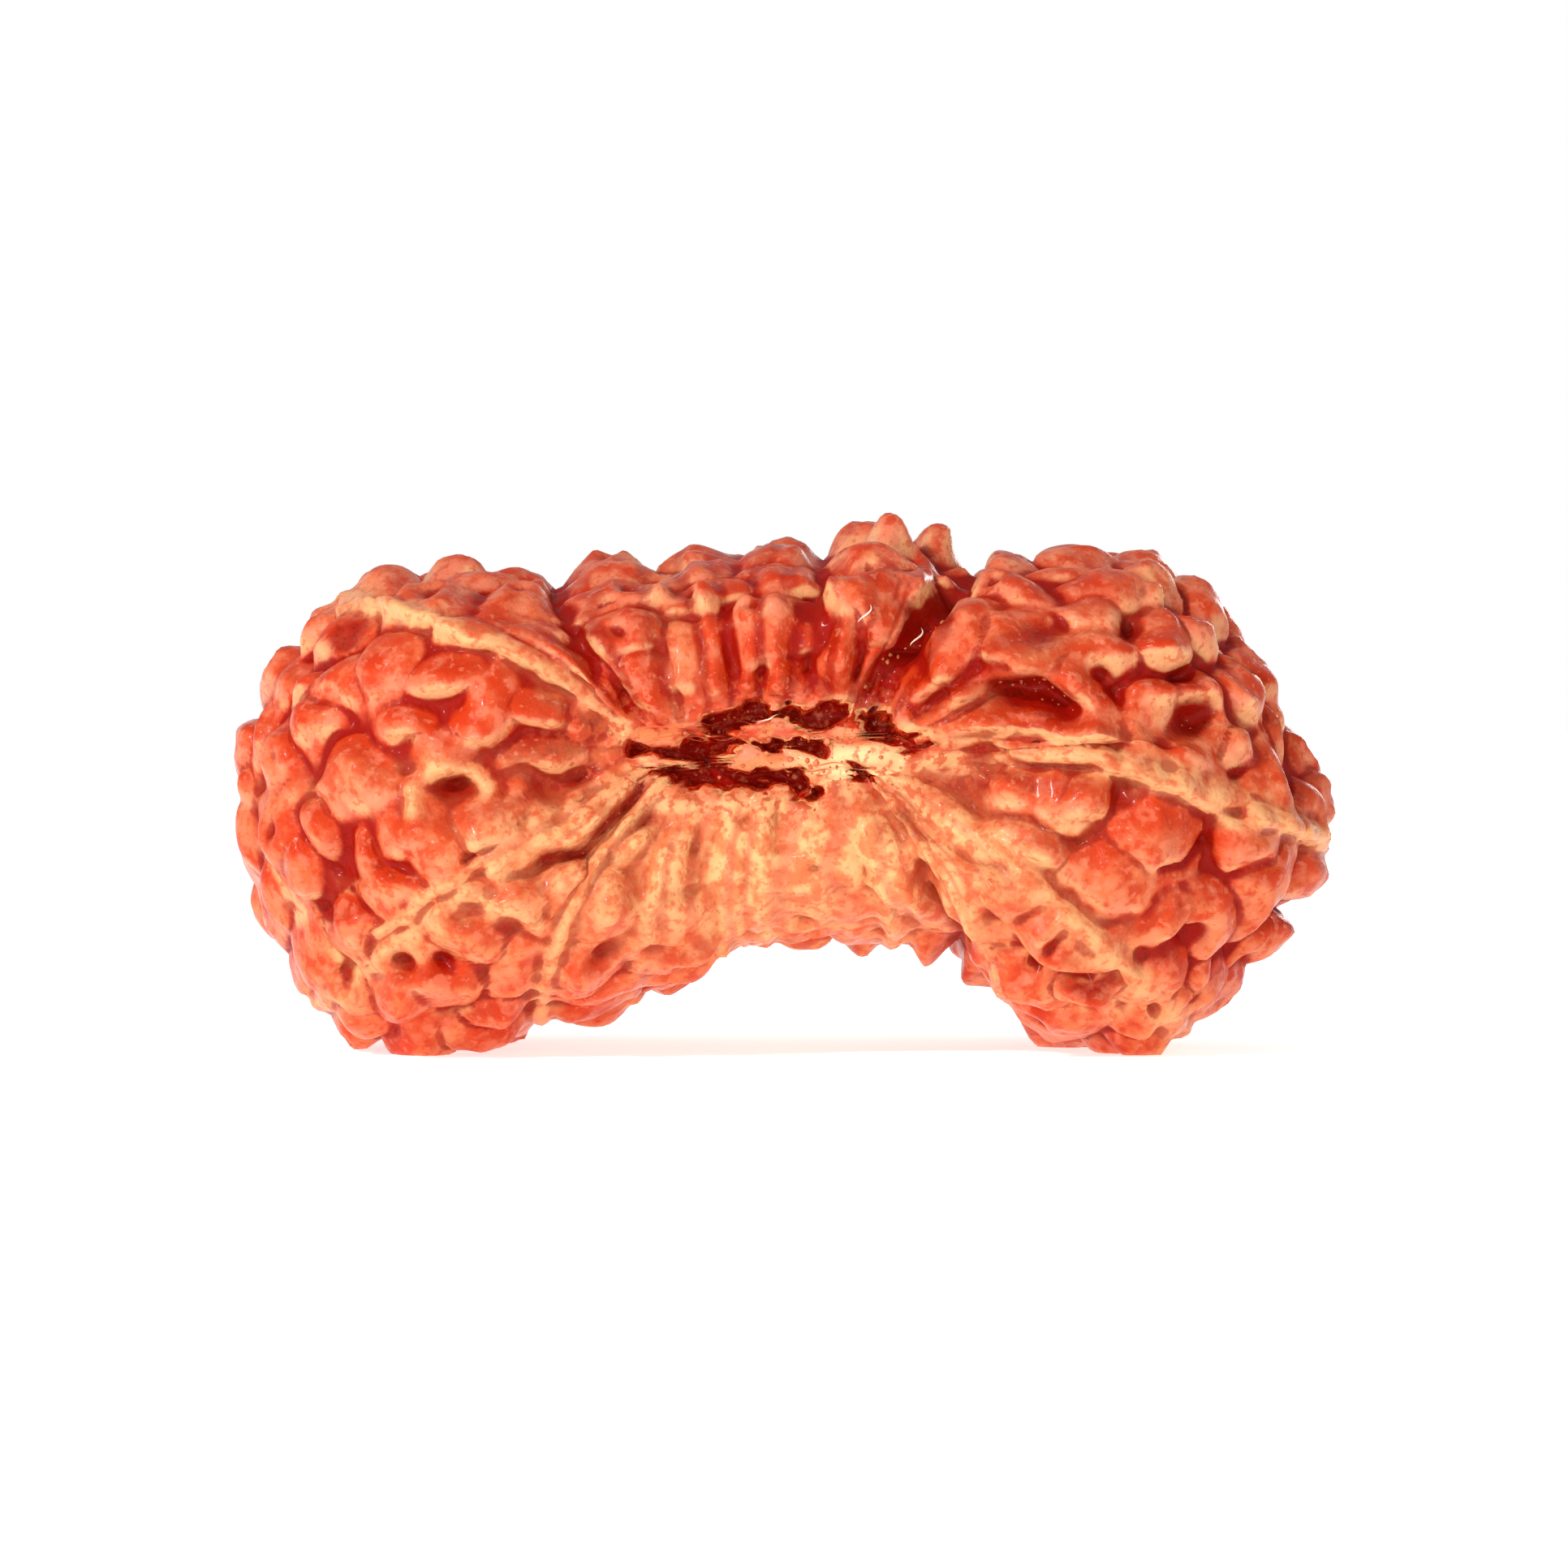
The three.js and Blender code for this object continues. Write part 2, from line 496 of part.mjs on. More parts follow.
// Joins the rings into one closed surface, sector by sector, and closes each slit at its middle.
function skin(rings) {
  const position = [];
  const index = [];
  const add = (point) => position.push(point.x, point.y, Math.max(0, point.z)) / 3 - 1;
  const numbered = rings.map((sectors) => sectors.map((points) => points.map(add)));
  const row = (sectors, sector) => [...sectors[sector], sectors[(sector + 1) % lines.length][0]];
  for (let r = 1; r < numbered.length; r++) {
    for (let sector = 0; sector < lines.length; sector++) {
      const a = row(numbered[r - 1], sector);
      const b = row(numbered[r], sector);
      let [p, q] = [0, 0];
      while (p < a.length - 1 || q < b.length - 1) {
        const stepA = (p + 1) / (a.length - 1);
        const stepB = (q + 1) / (b.length - 1);
        if (stepA <= stepB) index.push(a[p], b[q], a[++p]);
        else index.push(a[p], b[q], b[++q]);
      }
    }
  }
  for (const side of [-1, 1]) {
    const last = numbered[side < 0 ? 0 : numbered.length - 1].flat();
    const middle = add(new THREE.Vector3(slit.x, side * (halfDepth - valley.depth - ledge.depth), slit.z));
    last.forEach((corner, k) => {
      const next = last[(k + 1) % last.length];
      index.push(...(side < 0 ? [middle, corner, next] : [middle, next, corner]));
    });
  }
  const geometry = new THREE.BufferGeometry();
  geometry.setAttribute("position", new THREE.Float32BufferAttribute(position, 3));
  geometry.setIndex(index);
  return geometry;
}

// Sets the middle of the seed's box over the origin.
function centre(geometry) {
  geometry.computeBoundingBox();
  const middle = geometry.boundingBox.getCenter(new THREE.Vector3());
  geometry.translate(-middle.x, -middle.y, 0);
  geometry.computeVertexNormals();
  return geometry;
}

const shell = new THREE.MeshStandardMaterial({ color: 0xc04a2a, roughness: 0.45, metalness: 0 });
const stone = new THREE.Mesh(centre(skin(makeRings())), shell);
stone.name = "rudraksha_seed";

const model = new THREE.Group();
model.add(stone);
export default model;
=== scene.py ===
import math
from collections import namedtuple
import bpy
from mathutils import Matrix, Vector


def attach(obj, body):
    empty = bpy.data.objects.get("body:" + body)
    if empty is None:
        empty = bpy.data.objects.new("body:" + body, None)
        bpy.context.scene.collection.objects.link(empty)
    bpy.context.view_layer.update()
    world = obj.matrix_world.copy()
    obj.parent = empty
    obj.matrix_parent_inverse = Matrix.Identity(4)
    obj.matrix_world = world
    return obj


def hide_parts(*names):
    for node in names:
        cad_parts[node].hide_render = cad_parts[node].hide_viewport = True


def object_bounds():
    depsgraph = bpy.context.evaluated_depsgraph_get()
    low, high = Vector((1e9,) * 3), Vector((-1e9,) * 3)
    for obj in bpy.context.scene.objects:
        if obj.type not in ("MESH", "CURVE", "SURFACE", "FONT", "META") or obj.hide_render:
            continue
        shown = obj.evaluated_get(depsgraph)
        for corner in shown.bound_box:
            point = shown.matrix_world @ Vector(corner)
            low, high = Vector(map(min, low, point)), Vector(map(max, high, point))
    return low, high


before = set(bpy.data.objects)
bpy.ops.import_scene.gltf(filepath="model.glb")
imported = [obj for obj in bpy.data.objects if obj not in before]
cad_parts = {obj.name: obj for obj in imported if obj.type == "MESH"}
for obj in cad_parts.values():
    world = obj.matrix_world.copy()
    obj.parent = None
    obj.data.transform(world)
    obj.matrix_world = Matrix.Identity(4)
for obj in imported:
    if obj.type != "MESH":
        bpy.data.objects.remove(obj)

from types import SimpleNamespace as Named

import bpy
import numpy as np
from mathutils import Vector
from numpy.linalg import norm

# A rudraksha seed: the same surface formula as the CAD node, on a mesh four times as fine each way,
# with finer pits, wrinkles and fibres, and with what is only colour in its material. That material
# also paints shade into the hollows and onto the knobs' upper sides, and paints light onto their undersides.
# The formula works in millimetres. Blender's metres come in where the meshes are made.
MM = 0.001
NODE = "rudraksha_seed"
Noise = namedtuple("Noise", "size shift reach")
Knob = namedtuple("Knob", "at along across up half_length half_width height pit", defaults=[False])
cad_low, cad_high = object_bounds()

# Driving dimensions of the body, as in the CAD part
HALF_DEPTH = 11.3
VALLEY_DEPTH = 2.2
VALLEY_REACH = 4.6
BOXINESS = 0.8
SLIT = Named(x=-0.3, z=10.45, half_length=4.9, half_width=1.25, slant=0.03, wave=0.16, waves=5)
AXIS_STEP = 0.02

# The low ground, the knobs that rise out of it, and the seams between them, as in the CAD part
GROUND = -0.35
GROUND_SWELL = Noise(2.4, 300, 0.2)
CREVICE = -0.55
BLEND = 0.1
FLATNESS = 2.4
DOME_REACH = 1.1
SEAM = Named(width=0.17, depth=0.18, within=1.6, gap_size=2.1, gap_shift=340)
KNOB_PITCH = 2.5
KNOB_HEIGHT = 0.72
KNOB_REACH = 5.0
FAR_AWAY = 9.0
FRONT_SPREAD = 1.12
BEAD_REACH = 0.9

# Knobs placed by rule. Each measure is drawn as the least and how much more it may be, as a share.
KNOB_DRAWS = Named(start=(-0.94, 0.04), row=(0.8, 0.45), length=(1.05, 0.35), width=(1.05, 0.25),
                   height=(0.6, 0.7))
LAST_ROW = 0.95
NARROW_SECTOR = Named(width=2.2, stretch=1.6, swing=20)
SWING = 70
PITTED_SHARE = 0.25
KNOB_PIT_DEPTH = 0.5

# The channels that the lines clear, and their crests
CHANNEL = Named(half_width=0.7, clearing=0.9, strength=2.6, wander=0.12, wander_shift=120)
CREST_HALF_WIDTH = 0.36

# How places wander before the relief is read there, and how the relief leans and swells. A noise has
# lumps of a size, is read at a shift, and reaches so far.
WARP = Noise(3.1, 0, 0.5)
FINE_WARP = Noise(1.2, 400, 0.32)
LEAN = Noise(4.5, 160, 0.5)
SWELL = Noise(1.5, 0, 0.12)
SEED = 21

# The fine mesh
EDGE = 0.17
RINGS_PER_FACE = 112
SLIT_RINGS = 12
SLIT_SCALES = (0.05, 0.95)

# The relief that only the fine mesh can show
GRAIN = Noise(0.5, 0, 0.04)
BROAD_RIDGES = Noise(1.7, 720, 0.3)
FINE_RIDGES = Noise(0.75, 760, 0.14)
RIDGE_HALF_WIDTH = 0.25
FLUTES = Named(per_sector=2, depth=0.11, middle=2.6, reach=2.4, below_slit=0.6)
FLUTE_WANDER = Noise(2.2, 500, 0.55)
FAN_REACH = 5.5
LIP = Named(level=0.3, rise=8)

# Inside the slit: shelves, ragged crevices, crust, fibrous streaks, and the pale plate at the right
SHELF_DEPTH = 0.3
NEAR_SLIT = 0.09
IN_SLIT = -1.0
RAGGED = (Noise(0.9, 620, 0.34), Noise(0.4, 640, 0.3), Noise(0.22, 650, 0.2))
CRUST = Named(size=0.34, shift=660, fine_shift=680, fine_share=0.6, depth=0.09)
FIBROUS = Named(length=1.3, width=0.3, depth=0.16)
PLATE = Named(from_x=0.8, ease_x=0.5, to_z=10.8, ease_z=0.12)

# What the material reads: the relief's own fields, and where the seed's paler lower part begins
FIELDS = ("height", "seam", "pale", "pit", "cleft", "flute", "fan")
SHELL_FIELDS = FIELDS + ("cavity", "fine_cavity", "facing", "lower", "rim_of_slit", "plate", "shelf",
                         "crevice")
LOWER_PART = Named(top=9.8, span=5)

# How often the mesh is smoothed to find its wide and its fine hollows
HOLLOW_ROUNDS = 24
FINE_ROUNDS = 3

# Colours
SALMON = (0.68, 0.125, 0.045)
ORANGE_RED = (0.56, 0.036, 0.006)
DEEP_RED = (0.30, 0.004, 0.0005)
CREAM = (0.90, 0.48, 0.20)
PEACH = (0.76, 0.22, 0.08)
PINK = (0.80, 0.24, 0.13)
DIRT = (0.12, 0.008, 0.003)
RUST = (0.52, 0.09, 0.03)
PALE_CREAM = (0.92, 0.62, 0.30)
ROSE = (0.62, 0.17, 0.09)
CLEAR = (0.9, 0.85, 0.8)

# Coats of colour, laid one over the other by what is seen at a place: what, from, to, strength, colour.
# The cavity row paints shade, orange-red, into the wide hollows.
# The facing rows paint shade where a knob's side faces up, and paint light where it faces down.
KNOB_COATS = [
    ("facing", 0.0, 0.3, 0.9, ORANGE_RED),
    ("facing", 0.2, 0.7, 0.6, DEEP_RED),
    ("facing", -0.02, -0.3, 0.75, PINK),
    ("blotch", 0.5, 0.62, 0.4, PINK),
    ("blotch", 0.48, 0.38, 0.75, ORANGE_RED),
    ("cavity", -0.02, 0.12, 0.8, ORANGE_RED),
]
MOTTLING = [
    ("grain", 0.45, 0.36, 0.5, ORANGE_RED),
    ("grain", 0.58, 0.66, 0.4, PINK),
]
# The cavity row paints shade, in rust, into the lower fan's hollows.
LOW_FAN_COATS = [
    ("blotch", 0.4, 0.56, 1.0, CREAM),
    ("flute", 0.0, -0.9, 0.6, ROSE),
    ("grain", 0.5, 0.36, 0.6, SALMON),
    ("cavity", 0.08, 0.28, 0.7, RUST),
    ("specks", 0.6, 0.68, 0.6, RUST),
]
SHELF_COATS = [
    ("flute", -0.5, 0.3, 1.0, PINK),
    ("blotch", 0.45, 0.55, 1.0, PEACH),
]

# The shell's shader, beside its colour and roughness
SHELL_SHADER = {
    "Subsurface Weight": 0.05,
    "Subsurface Radius": (1.0, 0.3, 0.15),
    "Subsurface Scale": 0.5 * MM,
    "Specular IOR Level": 0.07,
    "Coat Weight": 0.08,
    "Coat Roughness": 0.12,
}

# Camera: its lens, how much of the frame's width the seed fills, and how many degrees it looks down
LENS = 180
SENSOR = 36
SHARE_OF_FRAME = 0.697
CAMERA_LIFT = 1.0

# The studio is white all round at the seed's own height, and darker overhead.
SKY = {"From Min": 0.09, "From Max": 0.28, "To Min": 1.0, "To Max": 0.52}
FLOOR_SHADER = {
    "Base Color": (0.9, 0.9, 0.9, 1),
    "Roughness": 0.9,
    "Emission Color": (1, 1, 1, 1),
    "Emission Strength": 0.66,
}

# Lights: name, place, what each is turned to, size, power.
LIGHTS = [
    ("front_low", (-0.07, -0.28, 0.01), (0, 0, 0.009), 0.016, 0.15),
    ("front_high", (-0.15, -0.20, 0.16), (0, 0, 0.012), 0.02, 0.46),
    ("behind", (0.12, 0.30, 0.08), (0, 0, 0.009), 0.08, 0.1),
]

# The slit's crevices: half width, depth, and the route (x, z).
CREVICES = [
    (0.3, 1.7, [(-4.7, 10.5), (-3.9, 10.45), (-3.2, 10.5), (-2.4, 10.35)]),
    (0.13, 1.2, [(-2.6, 10.5), (-1.4, 10.7), (-0.2, 10.65), (0.8, 10.7), (1.7, 10.45)]),
    (0.2, 1.5, [(-2.1, 11.35), (-0.9, 11.65), (0.4, 11.75), (1.0, 11.5), (2.2, 11.75), (3.1, 11.6),
                (3.9, 11.1)]),
    (0.12, 1.0, [(3.9, 11.1), (4.5, 10.7), (4.9, 10.4)]),
    (0.2, 1.4, [(-4.1, 9.95), (-3.0, 9.6), (-1.6, 9.6), (-0.2, 9.55), (0.6, 9.45), (1.1, 8.95)]),
    (0.1, 0.8, [(2.9, 9.6), (3.8, 9.7), (4.6, 9.6)]),
]

# The lines: where each crosses the rim (x, z), how far it bows aside, and its crest (below 0, a cleft).
LINES = np.array([
    [18.65, 7.1, 1.3, 0.35],
    [17.4, 11.3, 0.0, 0.1],
    [13.9, 16.3, 0.0, 0.1],
    [7.1, 16.6, 0.6, -0.5],
    [4.8, 17.6, 0.1, -0.15],
    [1.6, 17.0, 0.0, -0.2],
    [-1.4, 16.9, 0.0, -0.12],
    [-3.9, 16.3, 0.0, 0.1],
    [-7.6, 16.1, 0.35, -0.35],
    [-14.8, 15.4, -0.95, 0.3],
    [-18.4, 8.8, 0.0, 0.1],
    [-15.7, 1.8, 0.0, 0.3],
    [-11.5, 0.2, -0.3, 0.1],
    [-8.1, 1.2, -0.85, 0.35],
    [-4.8, 2.0, -0.5, 0.15],
    [-1.8, 3.6, -0.1, 0.3],
    [-0.3, 3.9, 0.0, 0.35],
    [4.0, 4.0, 0.1, 0.35],
    [6.3, 3.5, 0.0, -0.35],
    [8.0, 2.0, 0.3, 0.3],
    [10.8, 0.4, 0.4, 0.1],
    [14.1, 0.9, 0.5, 0.35],
])
COUNT = len(LINES)

# Knobs that stand out on the face at -Y: x, z, half length, half width, tilt in degrees, height.
FRONT_KNOBS = [
    (-17.4, 10.7, 1.25, 0.7, 80, 0.6),
    (-18.1, 9.1, 0.9, 0.6, 10, 0.6),
    (-15.4, 11.3, 1.35, 0.95, -10, 0.8),
    (-13.9, 9.6, 1.6, 1.15, -10, 0.95),
    (-16.4, 8.7, 0.9, 0.5, 35, 0.5),
    (-15.4, 7.9, 0.8, 0.75, 0, 0.8),
    (-13.2, 13.1, 1.6, 1.15, 75, 0.9),
    (-13.3, 16.0, 1.4, 0.8, 0, 0.6),
    (-15.7, 14.2, 1.2, 0.45, 85, 0.6),
    (-15.8, 12.6, 1.1, 0.45, -5, 0.5),
    (-11.3, 13.0, 1.15, 0.8, 0, 0.6),
    (-9.6, 11.9, 1.3, 1.0, 60, 0.8),
    (-12.4, 11.4, 0.95, 0.55, 0, 0.5),
    (-11.0, 10.6, 1.2, 0.5, 0, 0.5),
    (-11.7, 7.4, 1.7, 1.1, -50, 0.85),
    (-9.6, 8.1, 1.25, 0.65, 15, 0.7),
    (-15.9, 6.3, 1.0, 0.95, 0, 0.7),
    (-13.6, 6.7, 1.1, 0.7, -50, 0.6),
    (-18.0, 7.1, 0.9, 0.7, -50, 0.6),
    (-17.2, 5.3, 1.1, 0.75, -60, 0.6),
    (-14.3, 4.3, 1.2, 0.9, 40, 0.8),
    (-14.6, 2.0, 1.1, 0.8, 0, 0.6),
    (-12.6, 2.4, 1.45, 1.0, 60, 0.85),
    (-10.7, 4.6, 1.15, 0.95, 0, 0.85),
    (-8.4, 5.5, 1.2, 0.6, -20, 0.5),
    (-9.3, 1.6, 1.25, 0.9, -80, 0.7),
    (-6.7, 2.4, 0.95, 0.8, 0, 0.5),
    (-10.0, 16.0, 1.6, 0.8, 10, 0.5),
    (-8.0, 16.0, 1.0, 0.6, 0, 0.45),
    (-10.6, 14.5, 1.2, 0.55, -15, 0.45),
    (-7.9, 13.3, 1.3, 0.5, -40, 0.5),
    (-8.2, 12.0, 1.0, 0.6, -20, 0.6),
    (-6.6, 11.6, 0.7, 0.45, 60, 0.6),
    (-7.5, 10.4, 1.3, 0.5, 10, 0.5),
    (8.0, 9.3, 1.05, 0.65, -10, 0.6),
    (10.2, 8.8, 1.05, 0.95, 0, 0.85),
    (12.6, 7.5, 1.9, 1.6, 20, 0.95),
    (16.5, 6.1, 1.9, 1.6, 30, 0.9),
    (9.9, 16.1, 1.5, 0.8, 0, 0.5),
    (12.6, 16.4, 1.25, 0.7, 0, 0.5),
    (10.8, 14.9, 1.4, 0.7, -10, 0.5),
    (14.2, 14.3, 1.4, 0.85, -45, 0.55),
    (15.6, 10.8, 0.65, 0.6, 0, 0.7),
    (16.9, 11.0, 0.9, 0.55, -60, 0.5),
    (9.0, 7.2, 1.15, 0.85, -35, 0.7),
    (5.9, 8.2, 1.35, 0.5, -35, 0.6),
    (9.7, 4.3, 1.6, 0.85, -35, 0.75),
    (13.4, 5.0, 1.4, 0.7, 15, 0.7),
    (10.7, 2.3, 0.9, 0.55, 20, 0.5),
    (12.6, 1.4, 1.15, 0.75, 75, 0.6),
    (10.1, 1.2, 0.85, 0.55, 0, 0.5),
    (14.3, 2.9, 0.9, 0.65, 60, 0.5),
    (16.3, 4.0, 1.4, 0.6, 25, 0.5),
    (4.0, 17.4, 1.0, 0.9, 0, 0.8),
    (5.7, 17.3, 0.9, 0.9, 0, 0.9),
]

# Small beads on the low ground of that face: x, z, half length, half width, tilt, height.
FRONT_BEADS = [
    (-1.2, 6.4, 0.5, 0.35, 90, 0.3),
    (-1.1, 5.5, 0.45, 0.35, 90, 0.3),
    (-1.2, 4.6, 0.45, 0.35, 90, 0.35),
    (-2.5, 4.3, 0.65, 0.5, 60, 0.5),
    (1.5, 5.5, 0.6, 0.35, 90, 0.3),
    (2.1, 4.4, 0.5, 0.45, 90, 0.35),
    (1.6, 6.8, 0.5, 0.4, 20, 0.25),
    (2.7, 6.1, 0.5, 0.3, 90, 0.25),
    (-5.5, 5.4, 0.8, 0.5, 0, 0.3),
    (-4.0, 5.9, 0.6, 0.35, 60, 0.2),
    (0.5, 4.4, 0.5, 0.4, 90, 0.3),
]

# Knobs under each lobe that the seed stands on: u and v on the body.
FOOT_LOBES = (11.8, 20.7)
FOOT_SPREAD = 0.19
FOOT_KNOB = {"half_length": 1.6, "half_width": 1.4, "height": 1.05}

# Pits on the face at -Y: x, z, radius, depth.
FRONT_PITS = [
    (-14.5, 14.2, 0.85, 0.8),
    (-15.2, 5.0, 0.5, 0.5),
    (-10.8, 9.2, 0.4, 0.6),
    (-9.1, 9.0, 0.25, 0.4),
    (-12.4, 3.4, 0.45, 0.6),
    (-11.2, 3.4, 0.4, 0.7),
    (-14.7, 2.6, 0.4, 0.5),
    (-9.8, 1.4, 0.33, 0.5),
    (-6.6, 2.3, 0.35, 0.5),
    (-6.0, 3.9, 0.45, 0.5),
    (8.9, 14.3, 0.7, 0.6),
    (7.5, 15.7, 0.35, 0.6),
    (10.8, 13.0, 0.45, 0.6),
    (11.4, 12.3, 0.35, 0.5),
    (12.0, 14.6, 0.45, 0.6),
    (13.5, 15.1, 0.45, 0.7),
    (13.0, 16.1, 0.35, 0.5),
    (13.6, 13.0, 0.4, 0.6),
    (14.1, 11.5, 0.5, 1.0),
    (13.0, 10.6, 0.5, 0.5),
    (15.7, 13.1, 0.3, 0.4),
    (17.4, 9.3, 0.6, 0.7),
    (15.6, 9.8, 0.3, 0.4),
    (16.7, 11.5, 0.25, 0.4),
    (9.2, 3.9, 0.35, 0.6),
    (8.6, 3.1, 0.35, 0.6),
    (13.6, 5.4, 0.2, 0.3),
    (12.8, 1.7, 0.3, 0.5),
    (7.1, 4.8, 0.45, 0.4),
    (6.0, 16.4, 0.4, 0.6),
    (-5.0, 15.6, 0.55, 0.6),
    (-2.7, 15.7, 0.33, 0.5),
    (0.0, 15.5, 0.35, 0.4),
    (-0.8, 15.2, 0.25, 0.35),
]

# Folds (above 0) and clefts (below 0) on that face: half width, rise, pale or not, and the route (x, z).
FRONT_FOLDS = [
    (0.6, 0.95, 0, [(6.3, 12.6), (7.4, 13.4), (8.9, 13.5), (10.0, 13.0), (10.8, 12.0), (10.9, 11.1)]),
    (0.55, 0.65, 0, [(5.8, 11.4), (7.2, 11.6), (8.8, 11.4), (10.3, 11.0)]),
    (0.2, 0.25, 1, [(5.6, 10.8), (7.5, 10.8), (9.2, 10.4), (10.2, 10.4), (10.9, 10.8)]),
    (0.2, -0.45, 0, [(6.2, 10.2), (7.8, 10.3), (9.0, 10.0), (10.9, 9.9)]),
    (0.5, -0.9, 0, [(7.6, 12.5), (8.7, 12.4), (9.6, 11.9)]),
    (0.4, 0.45, 1, [(11.1, 10.0), (12.2, 9.6), (13.6, 9.3), (14.6, 8.6), (16.0, 8.2), (17.4, 8.0),
                    (18.4, 7.6)]),
    (0.45, 0.4, 0, [(9.5, 14.0), (11.0, 13.9), (12.6, 13.8), (13.3, 13.3)]),
    (0.45, 0.4, 0, [(12.0, 12.6), (13.4, 12.5), (14.9, 12.6), (15.6, 11.9)]),
    (0.28, -0.6, 0, [(12.9, 6.6), (13.7, 6.6), (14.4, 7.3)]),
    (0.28, -0.6, 0, [(17.0, 5.0), (17.8, 5.3), (18.3, 5.9)]),
    (0.38, -0.55, 0, [(12.3, 3.5), (13.2, 3.9), (14.2, 4.4)]),
    (0.22, -0.5, 0, [(4.9, 9.6), (6.8, 8.5), (8.5, 8.2), (10.0, 7.4)]),
    (0.22, -0.3, 0, [(5.0, 7.6), (6.5, 6.8), (7.7, 6.6)]),
    (0.25, -0.4, 0, [(10.0, 2.7), (10.7, 2.4), (11.4, 2.8)]),
    (0.3, 0.45, 1, [(-12.0, 8.4), (-12.1, 9.3), (-11.3, 9.9), (-10.3, 9.8), (-9.6, 9.2)]),
    (0.35, 0.55, 0, [(-9.9, 7.1), (-8.1, 7.9), (-6.5, 9.0), (-5.4, 9.9)]),
    (0.14, -0.45, 0, [(-10.2, 6.9), (-8.4, 8.1), (-6.4, 9.6)]),
    (0.35, 0.55, 1, [(-9.3, 6.6), (-7.4, 7.2), (-5.8, 8.2), (-4.8, 9.3)]),
    (0.28, -0.65, 0, [(-7.8, 6.8), (-6.4, 7.0), (-5.4, 8.3), (-4.5, 9.3)]),
    (0.35, 0.45, 1, [(-10.0, 5.7), (-9.2, 5.1), (-8.0, 4.7)]),
    (0.22, 0.3, 1, [(-9.8, 6.8), (-11.0, 5.9), (-12.4, 4.8), (-13.4, 4.3)]),
    (0.24, 0.3, 1, [(-15.0, 15.0), (-13.0, 15.3), (-11.5, 14.8), (-10.0, 14.1)]),
    (0.55, -0.7, 0, [(2.9, 11.9), (3.6, 13.2), (4.6, 14.4), (5.4, 15.3), (6.4, 15.8)]),
    (0.3, -0.55, 0, [(4.6, 11.8), (6.0, 12.8), (8.0, 13.4)]),
    (0.22, -0.5, 0, [(-5.1, 12.2), (-6.2, 13.7), (-6.9, 14.9)]),
    (0.18, -0.4, 0, [(-6.0, 12.7), (-7.1, 14.4)]),
    (0.15, -0.4, 0, [(-5.8, 15.3), (-4.2, 15.15)]),
    (0.18, -0.45, 0, [(-0.5, 11.9), (-0.45, 13.1)]),
    (0.45, 0.5, 0, [(0.0, 15.4), (0.0, 12.8)]),
    (0.55, 0.5, 0, [(2.1, 15.6), (2.0, 12.9)]),
    (0.35, 0.4, 0, [(-1.0, 15.4), (-0.9, 12.7)]),
    (0.35, 0.45, 0, [(-2.3, 15.6), (-2.0, 12.6)]),
    (0.35, 0.4, 0, [(-3.9, 15.4), (-3.3, 12.8)]),
    (0.5, 0.4, 0, [(3.9, 16.4), (3.3, 14.4)]),
    (0.22, -0.45, 0, [(1.1, 15.8), (1.1, 13.2)]),
    (0.22, -0.4, 0, [(3.2, 16.5), (2.9, 14.8), (2.6, 13.0)]),
    (0.3, -0.45, 0, [(4.4, 8.4), (4.9, 6.4), (5.5, 5.0), (6.3, 3.8)]),
    (0.2, -0.3, 0, [(-2.6, 8.9), (-2.7, 7.2)]),
    (0.18, -0.25, 0, [(-1.0, 9.1), (-0.95, 8.0)]),
]

# What is caught in the hollows. A pair of numbers is the least and how much more may be drawn.
CRUMBS = Named(count=300, apart=0.22, radius=(0.035, 0.09))
FIBRES = Named(count=16, steps=8, length=(0.5, 1.3), lift=(0.03, 0.12), radius=(0.012, 0.022))
HAIR = Named(steps=10, radius=0.03, sway=0.12, clearance=0.35, bow=0.3)
STRAND_SIDES = 6

# The hairs' two ends (x, z).
HAIRS = [
    ((4.9, 14.9), (4.6, 14.1)),
    ((5.9, 14.2), (5.4, 13.5)),
    ((3.3, 15.4), (3.1, 14.8)),
    ((-0.4, 11.4), (0.5, 11.8)),
]

# Where knobs placed by rule stay low on the face at -Y: x, z, half length, half height, share taken off.
CALM = [
    (0.8, 6.4, 5.2, 3.3, 0.9),
    (-0.3, 13.4, 5.0, 2.8, 0.8),
    (8.8, 12.2, 3.0, 2.0, 0.9),
    (14.0, 13.5, 4.0, 3.5, 0.3),
]

state = SEED


def draw():
    """The next repeatable number from 0 to 1."""
    global state
    state = (state * 1664525 + 1013904223) & 0xFFFFFFFF
    return state / 4294967296


def drawn(least, more):
    """A repeatable number from least to least + more."""
    return least + more * draw()


def lattice_value(i, j, k):
    """A repeatable number from 0 to 1 for each point of a lattice."""
    mask = 0xFFFFFFFF
    h = ((i * 73856093) & mask) ^ ((j * 19349663) & mask) ^ ((k * 83492791) & mask)
    h = ((h ^ (h >> 13)) * 1274126177) & mask
    return (h ^ (h >> 16)) / 4294967296


def noise(points):
    """Smooth noise from -1 to 1, with lumps about one unit across."""
    cell = np.floor(points)
    t = points - cell
    t = t * t * (3 - 2 * t)
    cell = cell.astype(np.int64)
    total = np.zeros(points.shape[:-1])
    for n in range(8):
        corner = np.array([n & 1, (n >> 1) & 1, n >> 2])
        share = np.where(corner == 1, t, 1 - t).prod(axis=-1)
        total += share * lattice_value(*np.moveaxis(cell + corner, -1, 0))
    return 2 * total - 1


def lumps(points, kind):
    """Noise of one kind at each place."""
    return kind.reach * noise(points / kind.size + kind.shift)


def ridges(points, kind):
    """Ridges along the lines where a noise crosses zero."""
    return kind.reach * (RIDGE_HALF_WIDTH - np.abs(noise(points / kind.size + kind.shift)))


def noise_vector(points, kind):
    """Three noises of one size side by side, 40 units apart."""
    parts = [noise(points / kind.size + np.array([kind.shift + 40 * k, 0, 0])) for k in range(3)]
    return np.stack(parts, axis=-1)


